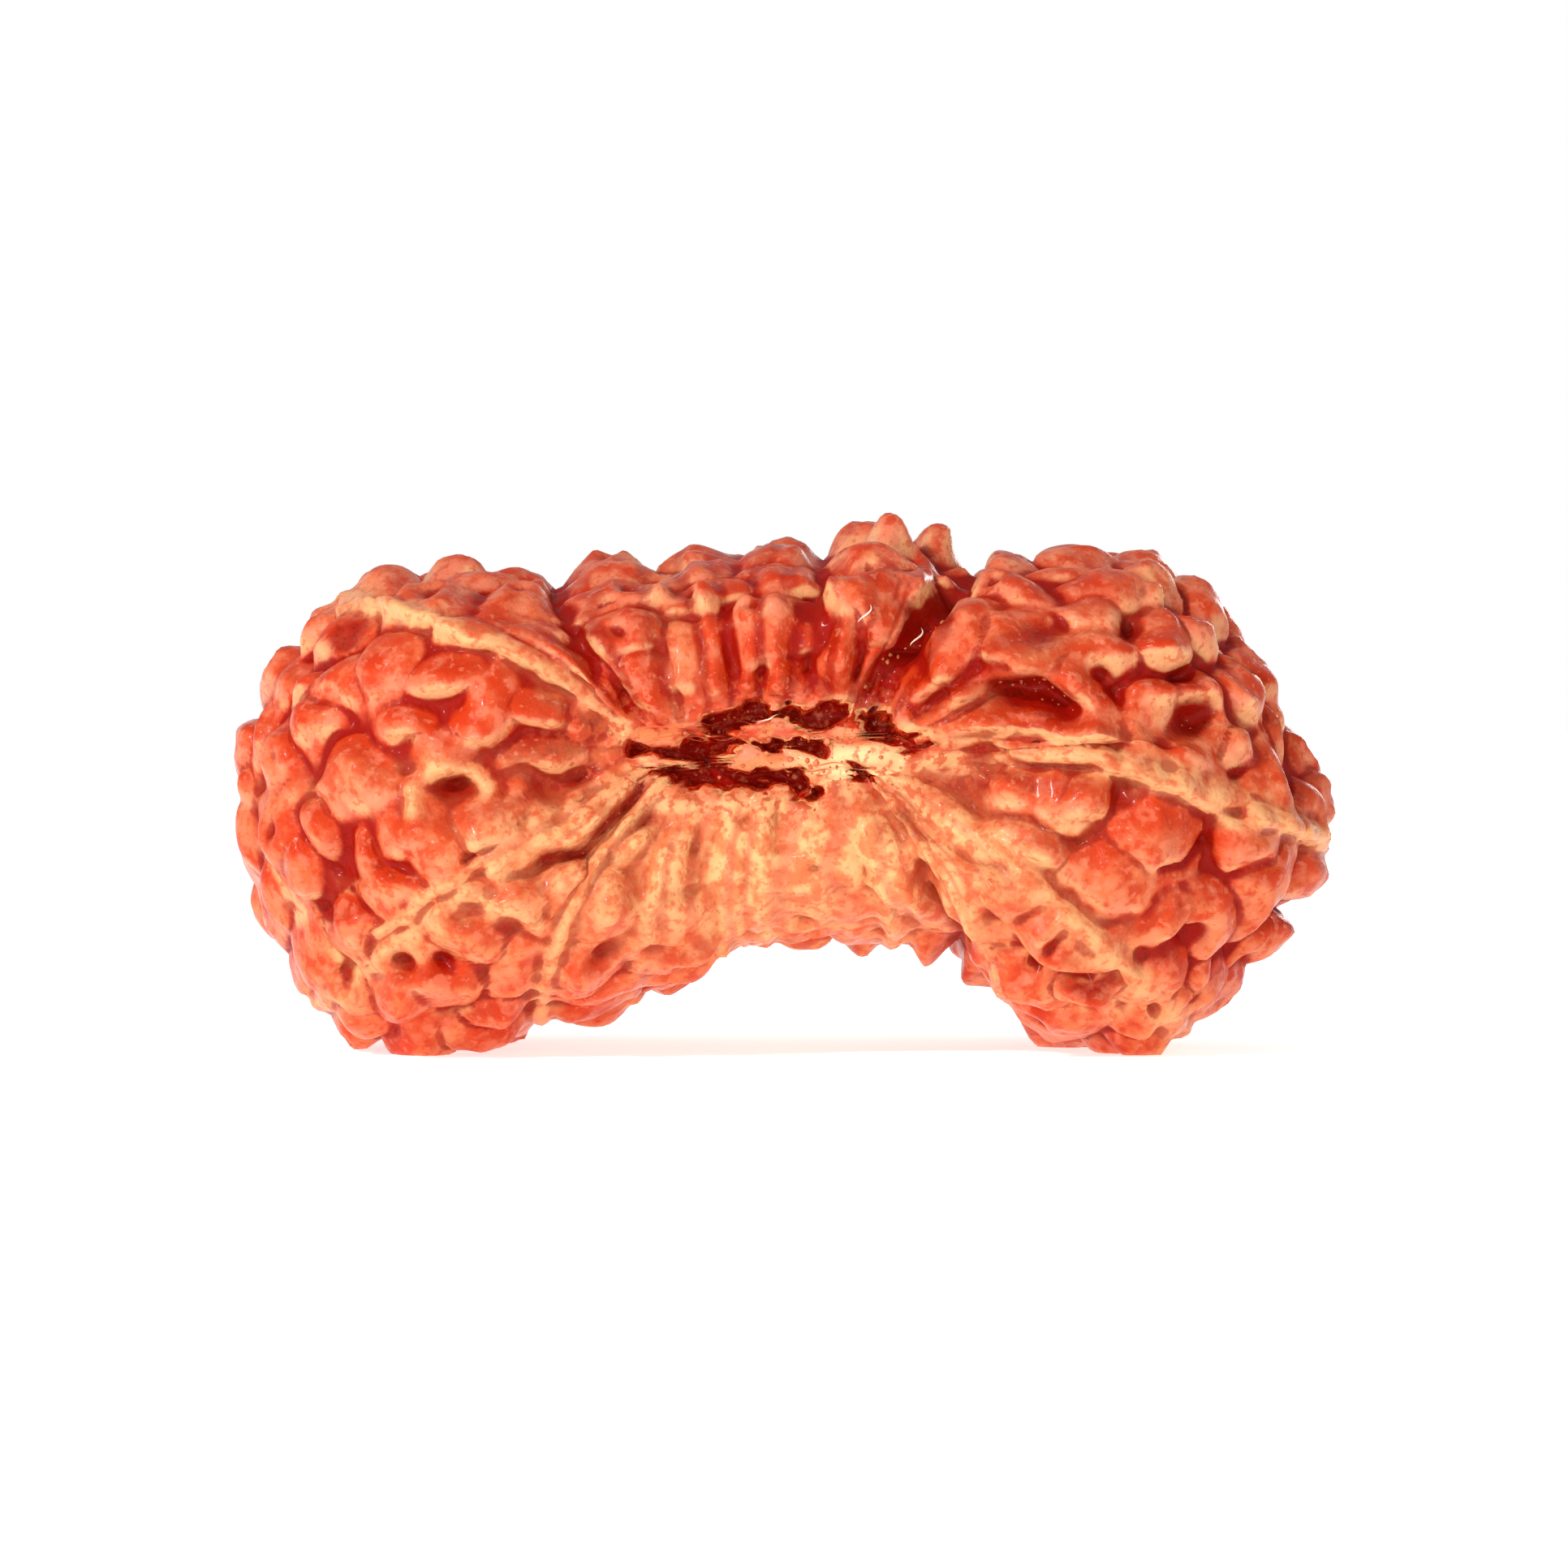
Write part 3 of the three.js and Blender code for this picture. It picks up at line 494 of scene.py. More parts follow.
def warped(points):
    """Places moved by the wander that keeps knobs and lines from being regular."""
    return (points + WARP.reach * noise_vector(points, WARP)
            + FINE_WARP.reach * noise_vector(points, FINE_WARP))


def rim_values(u):
    """The rim's x, z and bow at u, on a smooth closed curve through the lines' own."""
    first = np.floor(u).astype(int)
    t = (u - first)[..., None]
    a, b, c, d = (LINES[(first + step) % COUNT, :3] for step in (-1, 0, 1, 2))
    return b + 0.5 * t * (c - a + t * (2 * a - 5 * b + 4 * c - d + t * (3 * (b - c) + d - a)))


def body_point(u, v):
    """The smooth body under the relief. v runs from -1 at the slit facing -Y, over 0 at the rim, to 1."""
    u, v = np.broadcast_arrays(np.asarray(u, float), np.asarray(v, float))
    values = rim_values(u)
    rim, bow = values[..., :2], values[..., 2]
    angle = np.arctan2(rim[..., 1] - SLIT.z, rim[..., 0] - SLIT.x)
    lip_x = SLIT.half_length * np.cos(angle)
    lip_z = SLIT.half_width * np.sin(angle) + SLIT.wave * np.sin(SLIT.waves * angle)
    lip_z = lip_z - SLIT.slant * lip_x
    lip = np.stack([SLIT.x + lip_x, SLIT.z + lip_z], axis=-1)
    share = np.abs(np.cos(v * math.pi / 2)) ** BOXINESS
    rise = np.abs(np.sin(v * math.pi / 2)) ** BOXINESS
    span = rim - lip
    length = np.hypot(span[..., 0], span[..., 1])
    aside = bow * 4 * share * (1 - share) / length
    sink = VALLEY_DEPTH * rise * rise * np.exp(-((share * length / VALLEY_REACH) ** 2))
    x = lip[..., 0] + share * span[..., 0] - aside * span[..., 1]
    z = lip[..., 1] + share * span[..., 1] + aside * span[..., 0]
    return np.stack([x, np.sign(v) * (HALF_DEPTH * rise - sink), z], axis=-1)


def unit(vectors):
    return vectors / norm(vectors, axis=-1, keepdims=True)


def body_axes(u, v):
    """The body's own axes at a place: along the meridian, across it, and straight out."""
    inside = np.clip(v, -1 + AXIS_STEP, 1 - AXIS_STEP)
    along = unit(body_point(u, inside + AXIS_STEP) - body_point(u, inside - AXIS_STEP))
    across = body_point(u + AXIS_STEP, inside) - body_point(u - AXIS_STEP + COUNT, inside)
    up = unit(np.cross(along, across))
    return along, np.cross(up, along), up


SEAT_U, SEAT_V = np.meshgrid(np.arange(0, COUNT, 0.125), np.arange(-0.99, 0, 0.03), indexing="ij")
SEAT_POINTS = body_point(SEAT_U, SEAT_V)


def seat(x, z):
    """A place on the face at -Y, given as it is seen from the front, and the way straight out there."""
    gap = np.hypot(SEAT_POINTS[..., 0] - x, SEAT_POINTS[..., 2] - z)
    best = np.unravel_index(np.argmin(gap), gap.shape)
    up = body_axes(SEAT_U[best], SEAT_V[best])[2]
    return warped(np.array([x, SEAT_POINTS[best][1], z])), up


def front_knob(x, z, half_length, half_width, tilt, height):
    """A knob or bead on the face at -Y, given as it is seen from the front."""
    at, up = seat(x, z)
    along = np.array([math.cos(math.radians(tilt)), 0, math.sin(math.radians(tilt))])
    along = unit(along - along.dot(up) * up)
    return Knob(at, along, np.cross(up, along), up, half_length * FRONT_SPREAD, half_width * FRONT_SPREAD,
                height)


def standing_knobs():
    """The knobs under both lobes that the seed stands on."""
    places = [(u, v) for u in FOOT_LOBES for v in (-FOOT_SPREAD, FOOT_SPREAD)]
    return [Knob(warped(body_point(u, v)), *body_axes(u, v), **FOOT_KNOB) for u, v in places]


def turned(vector, axis, angle):
    """vector turned about a unit axis at right angles to it."""
    return vector * math.cos(angle) + np.cross(axis, vector) * math.sin(angle)


def pace(u, v):
    """How many millimetres one step of v covers along the meridian."""
    step = 0.01
    return norm(body_point(u, v + step) - body_point(u, v)) / step


def calm_share(place):
    """How much of their height the knobs placed by rule keep at a place."""
    if place[1] > 0:
        return 1.0
    kept = 1.0
    for x, z, half_length, half_height, off in CALM:
        away = ((place[0] - x) / half_length) ** 2 + ((place[2] - z) / half_height) ** 2
        kept *= 1 - off * math.exp(-(away ** 2))
    return kept


def rule_knob(u, v, row, cell, swing_range):
    """A knob at u and v, for a place row high and cell wide. Some have a pit on top."""
    along, across, up = body_axes(u, v)
    swing = (draw() - 0.5) * math.radians(swing_range)
    at = body_point(u, v)
    half_length = 0.5 * row * drawn(*KNOB_DRAWS.length)
    half_width = 0.5 * cell * drawn(*KNOB_DRAWS.width)
    height = KNOB_HEIGHT * drawn(*KNOB_DRAWS.height) * min(1, cell / KNOB_PITCH + 0.1) * calm_share(at)
    return Knob(at, turned(along, up, swing), turned(across, up, swing), up, half_length, half_width, height,
                draw() < PITTED_SHARE)


def is_clear(knob, placed):
    """Whether a knob stands clear of those placed one by one."""
    return all(norm(other.at - knob.at) >= 0.75 * other.half_length + 0.35 for other in placed)


def rule_knobs(placed):
    """Knobs in rows between the lines, over both faces and the rim, clear of those placed one by one."""
    made = []
    for sector in range(COUNT):
        v = drawn(*KNOB_DRAWS.start)
        while v < LAST_ROW:
            width = norm(body_point((sector + 1) % COUNT, v) - body_point(sector, v))
            narrow = width < NARROW_SECTOR.width
            count = max(1, math.floor((width - 0.3) / KNOB_PITCH + 0.5))
            row = KNOB_PITCH * drawn(*KNOB_DRAWS.row) * (NARROW_SECTOR.stretch if narrow else 1)
            for k in range(count):
                u = sector + (k + 0.5 + 0.24 * (draw() - 0.5)) / count
                place = v + (draw() - 0.5) * 0.35 * row / pace(u, v)
                knob = rule_knob(u, place, row, width / count, NARROW_SECTOR.swing if narrow else SWING)
                if is_clear(knob, placed):
                    made.append(knob)
            v += row / pace(sector + 0.5, v)
    return made


placed_knobs = [front_knob(*row) for row in FRONT_KNOBS] + standing_knobs()
scattered = rule_knobs(placed_knobs)
knobs = placed_knobs + scattered
beads = [front_knob(*row) for row in FRONT_BEADS]
pits = [(seat(x, z)[0], radius, depth) for x, z, radius, depth in FRONT_PITS]
pits += [(knob.at, 0.2 * knob.half_length + 0.12, KNOB_PIT_DEPTH) for knob in scattered if knob.pit]
folds = [(half, rise, pale, [seat(x, z)[0] for x, z in route]) for half, rise, pale, route in FRONT_FOLDS]


def to_route(points, route):
    """Each point's distance to a line through the route's places."""
    gap = np.full(len(points), np.inf)
    for start, end in zip(route, route[1:]):
        span = end - start
        share = np.clip((points - start) @ span / span.dot(span), 0, 1)
        gap = np.minimum(gap, norm(points - start - share[:, None] * span, axis=1))
    return gap


def away_from(knob, points):
    """Distance from a knob's middle, with its half length and half width as the unit."""
    gap = points - knob.at
    a = gap @ knob.along / knob.half_length
    b = gap @ knob.across / knob.half_width
    c = gap @ knob.up / max(knob.half_length, knob.half_width)
    return np.sqrt(a * a + b * b + c * c)


def knob_level(points):
    """The level where smooth knobs rise out of the low ground, and the thin seams between them."""
    total = np.exp((GROUND + lumps(points, GROUND_SWELL)) / BLEND)
    first = np.full(len(points), FAR_AWAY)
    second = np.full(len(points), FAR_AWAY)
    for knob in knobs:
        near = np.nonzero(((points - knob.at) ** 2).sum(axis=1) < KNOB_REACH ** 2)[0]
        away = away_from(knob, points[near])
        value = CREVICE + (knob.height - CREVICE) * np.exp(-((away / DOME_REACH) ** FLATNESS))
        total[near] += np.exp(value / BLEND) - math.exp(CREVICE / BLEND)
        second[near] = np.minimum(second[near], np.maximum(first[near], away))
        first[near] = np.minimum(first[near], away)
    seam = np.exp(-(((second - first) / SEAM.width) ** 2)) * (second < SEAM.within)
    seam *= np.clip(0.6 + 0.8 * noise(points / SEAM.gap_size + SEAM.gap_shift), 0, 1)
    return BLEND * np.log(total) - SEAM.depth * seam, seam


def line_gaps(u, v, wander):
    """Distance to the nearest line, and that line's number."""
    nearest = np.round(u).astype(int)
    fraction = u - nearest
    side = np.where(fraction < 0, -1, 1)
    beside = body_point((nearest + side) % COUNT, v)
    width = norm(beside - body_point(nearest % COUNT, v), axis=1)
    sway = CHANNEL.wander * np.abs(wander) * np.minimum(1, np.abs(fraction) * 8)
    return np.abs(fraction) * width + sway, nearest % COUNT


def lined(u, v, places, level):
    """The level with the lines' channels and crests, how deep in a channel each place is, and how pale."""
    wander = noise(places / WARP.size + np.array([CHANNEL.wander_shift, 0, 0]))
    gap, nearest = line_gaps(u, v, wander)
    crest_height = LINES[nearest, 3]
    strength = np.minimum(1, CHANNEL.strength * np.abs(crest_height))
    channel = strength * np.exp(-((gap / CHANNEL.half_width) ** 2))
    crest = np.exp(-((gap / CREST_HALF_WIDTH) ** 2))
    level = level + channel * CHANNEL.clearing * (np.minimum(level, 0) - level)
    level = level + crest * crest_height
    return level, channel, channel * (crest_height > 0)


def pit_depth(points):
    """How deep each place lies in the pits."""
    depth_here = np.zeros(len(points))
    for at, radius, depth in pits:
        away = norm(points - at, axis=1) / radius
        depth_here += depth * np.where(away < 3, np.exp(-away * away), 0)
    return depth_here


def fold_rise(points):
    """How far the folds, clefts and beads lift each place, how deep in a cleft it is, and how pale."""
    folded = np.zeros(len(points))
    cleft = np.zeros(len(points))
    pale = np.zeros(len(points))
    for half_width, rise, is_pale, route in folds:
        share = np.exp(-((to_route(points, route) / half_width) ** 2))
        folded += rise * share
        cleft = np.maximum(cleft, share * max(0, -rise))
        pale = np.maximum(pale, share * is_pale)
    for bead in beads:
        away = away_from(bead, points)
        folded += bead.height * np.exp(-((away / BEAD_REACH) ** 2))
    return folded, cleft, pale


def fluted(u, v, places, points):
    """The flutes that fan out round a slit: what they add, their wave, and how near each place is."""
    out = norm((places - body_point(u, np.where(v < 0, -1, 1)))[:, [0, 2]], axis=1)
    strength = np.exp(-(((out - FLUTES.middle) / FLUTES.reach) ** 2))
    strength *= np.where(places[:, 2] < SLIT.z, FLUTES.below_slit, 1)
    flute = np.cos(2 * math.pi * (FLUTES.per_sector * u + lumps(points, FLUTE_WANDER)))
    return FLUTES.depth * strength * flute, flute, np.exp(-((out / FAN_REACH) ** 4))


def relief(u, v, places):
    """How far the surface stands above the body, and what the material needs to know of each place."""
    points = warped(places)
    level, seam = knob_level(points)
    level, channel, pale_line = lined(u, v, places, level)
    pitted = pit_depth(points)
    folded, cleft, pale_fold = fold_rise(points)
    level += folded - pitted
    level += lumps(points, SWELL) + lumps(points, GRAIN)
    level += ridges(points, BROAD_RIDGES) + ridges(points, FINE_RIDGES)
    flutes, flute, fan = fluted(u, v, places, points)
    level += flutes
    level *= np.minimum(1, LIP.level + (1 - np.abs(v)) * LIP.rise)
    return level, {
        "height": level,
        "seam": seam * (1 - channel),
        "pale": np.maximum(pale_fold, pale_line),
        "pit": pitted,
        "cleft": cleft,
        "flute": flute,
        "fan": fan,
    }


def rings_of_places():
    """Every ring of the mesh: its kind, v, scale, and how many vertices it has in each sector."""
    levels = [("slit", -1, scale) for scale in np.linspace(*SLIT_SCALES, SLIT_RINGS)]
    levels += [("skin", v, 1.0) for v in np.linspace(-1, 1, 2 * RINGS_PER_FACE + 1)]
    levels += [("slit", 1, scale) for scale in np.linspace(*SLIT_SCALES[::-1], SLIT_RINGS)]
    rings = []
    for kind, v, scale in levels:
        corners = body_point(np.arange(COUNT), v)
        widths = norm(np.roll(corners, -1, axis=0) - corners, axis=1) * scale
        counts = np.maximum(1, np.round(widths / EDGE)).astype(int)
        rings.append((kind, v, scale, counts))
    return rings


def spread_rings(rings):
    """u, v and scale of every vertex, and at which vertex each ring's sectors start."""
    u_parts, v_parts, scale_parts, starts = [], [], [], []
    number = 0
    for kind, v, scale, counts in rings:
        starts.append(number + np.concatenate([[0], np.cumsum(counts)]))
        for sector, count in enumerate(counts):
            u_parts.append(sector + np.arange(count) / count)
        size = int(counts.sum())
        v_parts.append(np.full(size, v))
        scale_parts.append(np.full(size, scale if kind == "slit" else 1.0))
        number += size
    u, v, scale = map(np.concatenate, (u_parts, v_parts, scale_parts))
    return u, v, scale, starts


def slit_points(u, side, scale):
    """Inside the slit the same meridians run on over its shelves and crevices."""
    lip = body_point(u, side)
    middle = np.array([SLIT.x, 0, SLIT.z])
    points = middle + scale[:, None] * (lip - middle)
    points[:, 1] = lip[:, 1] - side * SHELF_DEPTH * (1 - scale ** 4)
    return points


def crevice_share(points):
    """How far into one of the slit's crevices each place lies, and how deep that crevice is there."""
    flat = points * np.array([1, 0, 1])
    wander = sum(lumps(points, kind) for kind in RAGGED)
    share = np.zeros(len(points))
    depth = np.zeros(len(points))
    for half_width, deep, route in CREVICES:
        places = [np.array([x, 0, z]) for x, z in route]
        gap = np.maximum(0, to_route(flat, places) + wander)
        here = np.exp(-((gap / half_width) ** 3))
        share = np.maximum(share, here)
        depth = np.maximum(depth, deep * here)
    return share, depth


def carve_slit(points, v, near):
    """Cuts the crevices into the slit and its lips, and roughens what stands between them."""
    side = np.where(points[:, 1] < 0, -1, 1)
    share, depth = crevice_share(points)
    strands = noise(points / np.array([FIBROUS.length, 1, FIBROUS.width]))
    fine_crust = noise(points / (0.5 * CRUST.size) + CRUST.fine_shift)
    crust = noise(points / CRUST.size + CRUST.shift) + CRUST.fine_share * fine_crust
    rough = (1 - share) * near
    points[:, 1] -= side * near * depth
    points[:, 1] += side * rough * (FIBROUS.depth * strands * (np.abs(v) == 1) + CRUST.depth * crust)
    return share * near, strands


def add_slit_fields(points, v, in_slit, fields):
    """Carves the slit, and notes which part of it each place belongs to."""
    near_slit = np.exp(-(((1 - np.abs(v)) / NEAR_SLIT) ** 2))
    carved, strands = carve_slit(points, v, near_slit)
    right_part = 1 / (1 + np.exp((PLATE.from_x - points[:, 0]) / PLATE.ease_x))
    lower_part = 1 / (1 + np.exp((points[:, 2] - PLATE.to_z) / PLATE.ease_z))
    fields["height"][in_slit] = IN_SLIT
    fields["flute"][in_slit] = strands[in_slit]
    fields["crevice"] = carved
    fields["rim_of_slit"] = near_slit
    fields["plate"] = np.where(in_slit, right_part * lower_part, 0)
    fields["shelf"] = np.where(in_slit, 1 - carved, 0)
    fields["lower"] = np.clip((LOWER_PART.top - points[:, 2]) / LOWER_PART.span, 0, 1)


def ring_row(starts, sector):
    """One sector's vertices in a ring, and the next sector's first."""
    row = list(range(starts[sector], starts[sector + 1]))
    return row + [starts[sector + 1] if sector + 1 < COUNT else starts[0]]


def zip_rows(a, b, triangles):
    """Fills the strip between two rows of vertices that may have different counts."""
    p = q = 0
    while p < len(a) - 1 or q < len(b) - 1:
        if (p + 1) / (len(a) - 1) <= (q + 1) / (len(b) - 1):
            triangles.append((a[p], b[q], a[p + 1]))
            p += 1
        else:
            triangles.append((a[p], b[q], b[q + 1]))
            q += 1


def close_ends(points, starts, fields, triangles):
    """Closes the innermost ring at each slit's middle, and gives the two new vertices their fields."""
    ends = []
    for side, start in ((-1, starts[0]), (1, starts[-1])):
        middle = len(points) + len(ends)
        ends.append(points[start[0]:start[-1]].mean(axis=0))
        ring = np.arange(start[0], start[-1])
        for corner, following in zip(ring, np.roll(ring, -1)):
            triangles.append((middle, corner, following) if side < 0 else (middle, following, corner))
    for name in fields:
        fields[name] = np.concatenate([fields[name], fields[name][[0, -1]]])
    return np.concatenate([points, ends])


def seed_surface():
    """Vertices in millimetres, triangles, and the fields that the material reads."""
    u, v, scale, starts = spread_rings(rings_of_places())
    in_slit = scale < 1
    skin = ~in_slit
    points = np.empty((len(u), 3))
    fields = {name: np.zeros(len(u)) for name in FIELDS}
    places = body_point(u[skin], v[skin])
    level, found = relief(u[skin], v[skin], places)
    lean = LEAN.reach * noise_vector(places, LEAN)
    points[skin] = places + level[:, None] * (body_axes(u[skin], v[skin])[2] + lean)
    for name, values in found.items():
        fields[name][skin] = values
    for side in (-1, 1):
        part = in_slit & (v == side)
        points[part] = slit_points(u[part], side, scale[part])
    add_slit_fields(points, v, in_slit, fields)
    triangles = []
    for before, after in zip(starts, starts[1:]):
        for sector in range(COUNT):
            zip_rows(ring_row(before, sector), ring_row(after, sector), triangles)
    points = close_ends(points, starts, fields, triangles)
    points[:, 2] = np.maximum(points[:, 2], 0)
    triangles = np.array(triangles)
    add_hollow_fields(points, triangles, fields)
    return points, triangles, fields


def smoothed(points, triangles, rounds):
    """The points after each has moved to the middle of its neighbours a number of times."""
    a = np.concatenate([triangles[:, 0], triangles[:, 1], triangles[:, 2]])
    b = np.concatenate([triangles[:, 1], triangles[:, 2], triangles[:, 0]])
    neighbours = np.bincount(a, minlength=len(points))
    for _ in range(rounds):
        sums = [np.bincount(a, points[b, axis], len(points)) for axis in range(3)]
        points = np.stack(sums, axis=1) / neighbours[:, None]
    return points


def normals_of(points, triangles):
    corners = points[triangles]
    sides = np.cross(corners[:, 1] - corners[:, 0], corners[:, 2] - corners[:, 0])
    sums = [np.bincount(triangles.ravel(), np.repeat(sides[:, axis], 3), len(points)) for axis in range(3)]
    return unit(np.stack(sums, axis=1))


def add_hollow_fields(points, triangles, fields):
    """How deep each place lies in a hollow, wide or fine, and whether a knob's side faces up or down."""
    wide = smoothed(points, triangles, HOLLOW_ROUNDS)
    fine = smoothed(points, triangles, FINE_ROUNDS)
    wide_normals = normals_of(wide, triangles)
    fine_normals = normals_of(fine, triangles)
    fields["cavity"] = ((wide - points) * wide_normals).sum(axis=1)
    fields["fine_cavity"] = ((fine - points) * fine_normals).sum(axis=1)
    fields["facing"] = fine_normals[:, 2] - wide_normals[:, 2]


def new_object(name, data):
    made = bpy.data.objects.new(name, data)
    bpy.context.collection.objects.link(made)
    return made


def new_piece(name, points, faces, fields, material):
    """A piece from vertices in millimetres, standing in for part of the seed's skin."""
    mesh = bpy.data.meshes.new(name)
    mesh.from_pydata(points * MM, [], faces)
    mesh.validate()
    mesh.shade_smooth()
    for field, values in fields.items():
        layer = mesh.attributes.new(field, "FLOAT", "POINT")
        layer.data.foreach_set("value", values.astype(np.float32))
    mesh.materials.append(material)
    piece = new_object(name, mesh)
    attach(piece, "root")
    return piece


surface = Named()


def make_seed(material):
    """The seed's skin, centred on the frame. surface keeps it for what lies in its hollows."""
    points, triangles, fields = seed_surface()
    low, high = points.min(axis=0), points.max(axis=0)
    shift = np.array([*(-(low[:2] + high[:2]) / 2), 0])
    points = points + shift
    in_slit = np.nonzero(fields["height"] == IN_SLIT)[0]
    surface.points = points
    surface.fields = fields
    surface.shift = shift
    surface.slit_places = {side: in_slit[points[in_slit][:, 1] * side > 0] for side in (-1, 1)}
    return new_piece("seed_skin", points, [tuple(row) for row in triangles.tolist()], fields, material)


def spread_places(weight, count, apart):
    """Vertex numbers drawn by weight, none closer together than apart."""
    order = np.argsort([-weight[k] * drawn(0.35, 0.65) for k in range(len(weight))])
    chosen = []
    for k in order:
        if weight[k] <= 0.05 or len(chosen) >= count:
            break
        if all(norm(surface.points[k] - surface.points[other]) > apart for other in chosen):
            chosen.append(k)
    return chosen


def crumb(middle, size):
    """A rough little lump: an octahedron split once, its corners pushed in and out."""
    ways = np.array([[1, 0, 0], [-1, 0, 0], [0, 1, 0], [0, -1, 0], [0, 0, 1], [0, 0, -1]], float)
    eighths = [(0, 2, 4), (2, 1, 4), (1, 3, 4), (3, 0, 4), (2, 0, 5), (1, 2, 5), (3, 1, 5), (0, 3, 5)]
    corners = list(ways)
    edges = {}
    faces = []
    for a, b, c in eighths:
        halves = []
        for pair in ((a, b), (b, c), (c, a)):
            key = tuple(sorted(pair))
            if key not in edges:
                edges[key] = len(corners)
                corners.append(unit(corners[pair[0]] + corners[pair[1]]))
            halves.append(edges[key])
        ab, bc, ca = halves
        faces += [(a, ab, ca), (ab, b, bc), (ca, bc, c), (ab, bc, ca)]
    stretch = np.array([drawn(0.7, 0.6) for _ in range(3)])
    pushed = np.array([corner * drawn(0.72, 0.5) for corner in corners])
    return middle + size * stretch * pushed, faces


def strand(route, thickness):
    """A fibre round a route of places, tapering to both ends."""
    points, faces = [], []
    for k, place in enumerate(route):
        ahead = unit(route[min(k + 1, len(route) - 1)] - route[max(k - 1, 0)])
        across = unit(np.cross(ahead, [0.1, 1, 0.2]))
        up = np.cross(ahead, across)
        radius = thickness * (0.25 + 0.75 * math.sin(math.pi * k / (len(route) - 1)))
        for side in range(STRAND_SIDES):
            angle = 2 * math.pi * side / STRAND_SIDES
            points.append(place + radius * (across * math.cos(angle) + up * math.sin(angle)))
    for k in range(len(route) - 1):
        for side in range(STRAND_SIDES):
            following = (side + 1) % STRAND_SIDES
            a, b = k * STRAND_SIDES + side, k * STRAND_SIDES + following
            faces.append((a, b, b + STRAND_SIDES, a + STRAND_SIDES))
    faces.append(tuple(reversed(range(STRAND_SIDES))))
    last = (len(route) - 1) * STRAND_SIDES
    faces.append(tuple(range(last, last + STRAND_SIDES)))
    return np.array(points), faces


def gathered(parts):
    """Several small bodies as one list of vertices and faces, and each body's own shade from 0 to 1."""
    points, faces, shades = [], [], []
    count = 0
    for part_points, part_faces in parts:
        shade = draw()
        points.append(part_points)
        faces += [tuple(count + corner for corner in face) for face in part_faces]
        shades += [shade] * len(part_points)
        count += len(part_points)
    return np.concatenate(points), faces, np.array(shades)


def make_litter(name, parts, material):
    """One piece of several small bodies."""
    points, faces, shades = gathered(parts)
    new_piece(name, points, faces, {"shade": shades}, material)


def make_crumbs(material):
    """Dry crumbs caught at the slits' lips, in the fissures and in the deeper pits."""
    fields = surface.fields
    caught = np.maximum(0.6 * fields["rim_of_slit"], np.maximum(fields["cleft"], 0.7 * fields["pit"]))
    caught = np.maximum(caught, 0.9 * (fields["plate"] > 0.2))
    least, more = CRUMBS.radius
    parts = []
    for k in spread_places(np.where(caught > 0.3, caught, 0), CRUMBS.count, CRUMBS.apart):
        size = least + more * draw() ** 3
        parts.append(crumb(surface.points[k], size))
    make_litter("crumbs", parts, material)


def slit_floor(x, share, side):
    """A place on the slit's floor: share runs from -1 at its lower lip to 1 at its upper lip."""
    reach = max(0.05, 1 - ((x - SLIT.x) / SLIT.half_length) ** 2) ** 0.5
    z = SLIT.z - SLIT.slant * (x - SLIT.x) + 0.9 * share * SLIT.half_width * reach
    floor = surface.slit_places[side]
    gap = (surface.points[floor] - surface.shift)[:, [0, 2]] - [x, z]
    nearest = floor[np.argmin((gap ** 2).sum(axis=1))]
    return np.array([x + surface.shift[0], surface.points[nearest][1], z])


def smooth_route(route):
    """The route with its inner places moved halfway to the middle of their neighbours, twice."""
    places = np.array(route)
    for _ in range(2):
        places[1:-1] += 0.5 * ((places[:-2] + places[2:]) / 2 - places[1:-1])
    return places


def slit_fibre(side):
    """One torn fibre that lies along a slit, its middle standing out a little."""
    start = SLIT.x - SLIT.half_length * 0.9 + 1.8 * SLIT.half_length * 0.8 * draw()
    length = drawn(*FIBRES.length)
    share = 1.8 * draw() - 0.9
    drift = 0.5 * (draw() - 0.5)
    lift = drawn(*FIBRES.lift)
    route = []
    for step in range(FIBRES.steps + 1):
        along = step / FIBRES.steps
        x = min(start + length * along, SLIT.x + 0.93 * SLIT.half_length)
        wave = 0.08 * math.sin(7 * along + 9 * share)
        place = slit_floor(x, np.clip(share + drift * along + wave, -0.95, 0.95), side)
        place[1] += side * (lift + 0.1 * math.sin(math.pi * along))
        route.append(place)
    return strand(smooth_route(route), drawn(*FIBRES.radius))


def make_fibres(material):
    """Torn fibres that lie along both slits."""
    parts = [slit_fibre(side) for side in (-1, 1) for _ in range(FIBRES.count)]
    make_litter("slit_fibres", parts, material)


def hair(start, end):
    """A hair from start to end, bowed out of the hollow that it is caught in."""
    first, last = seat(*start)[0], seat(*end)[0]
    route = []
    for step in range(HAIR.steps + 1):
        along = step / HAIR.steps
        place = first + (last - first) * along
        aside = HAIR.sway * math.sin(5 * along)
        out = HAIR.clearance + HAIR.bow * math.sin(math.pi * along)
        route.append(place + np.array([aside, -out, 0]) + surface.shift)
    return strand(np.array(route), HAIR.radius)


def make_hairs(material):
    """Clear hairs, three in the wide fissure at the upper right and one at the slit's upper lip."""
    make_litter("hairs", [hair(start, end) for start, end in HAIRS], material)


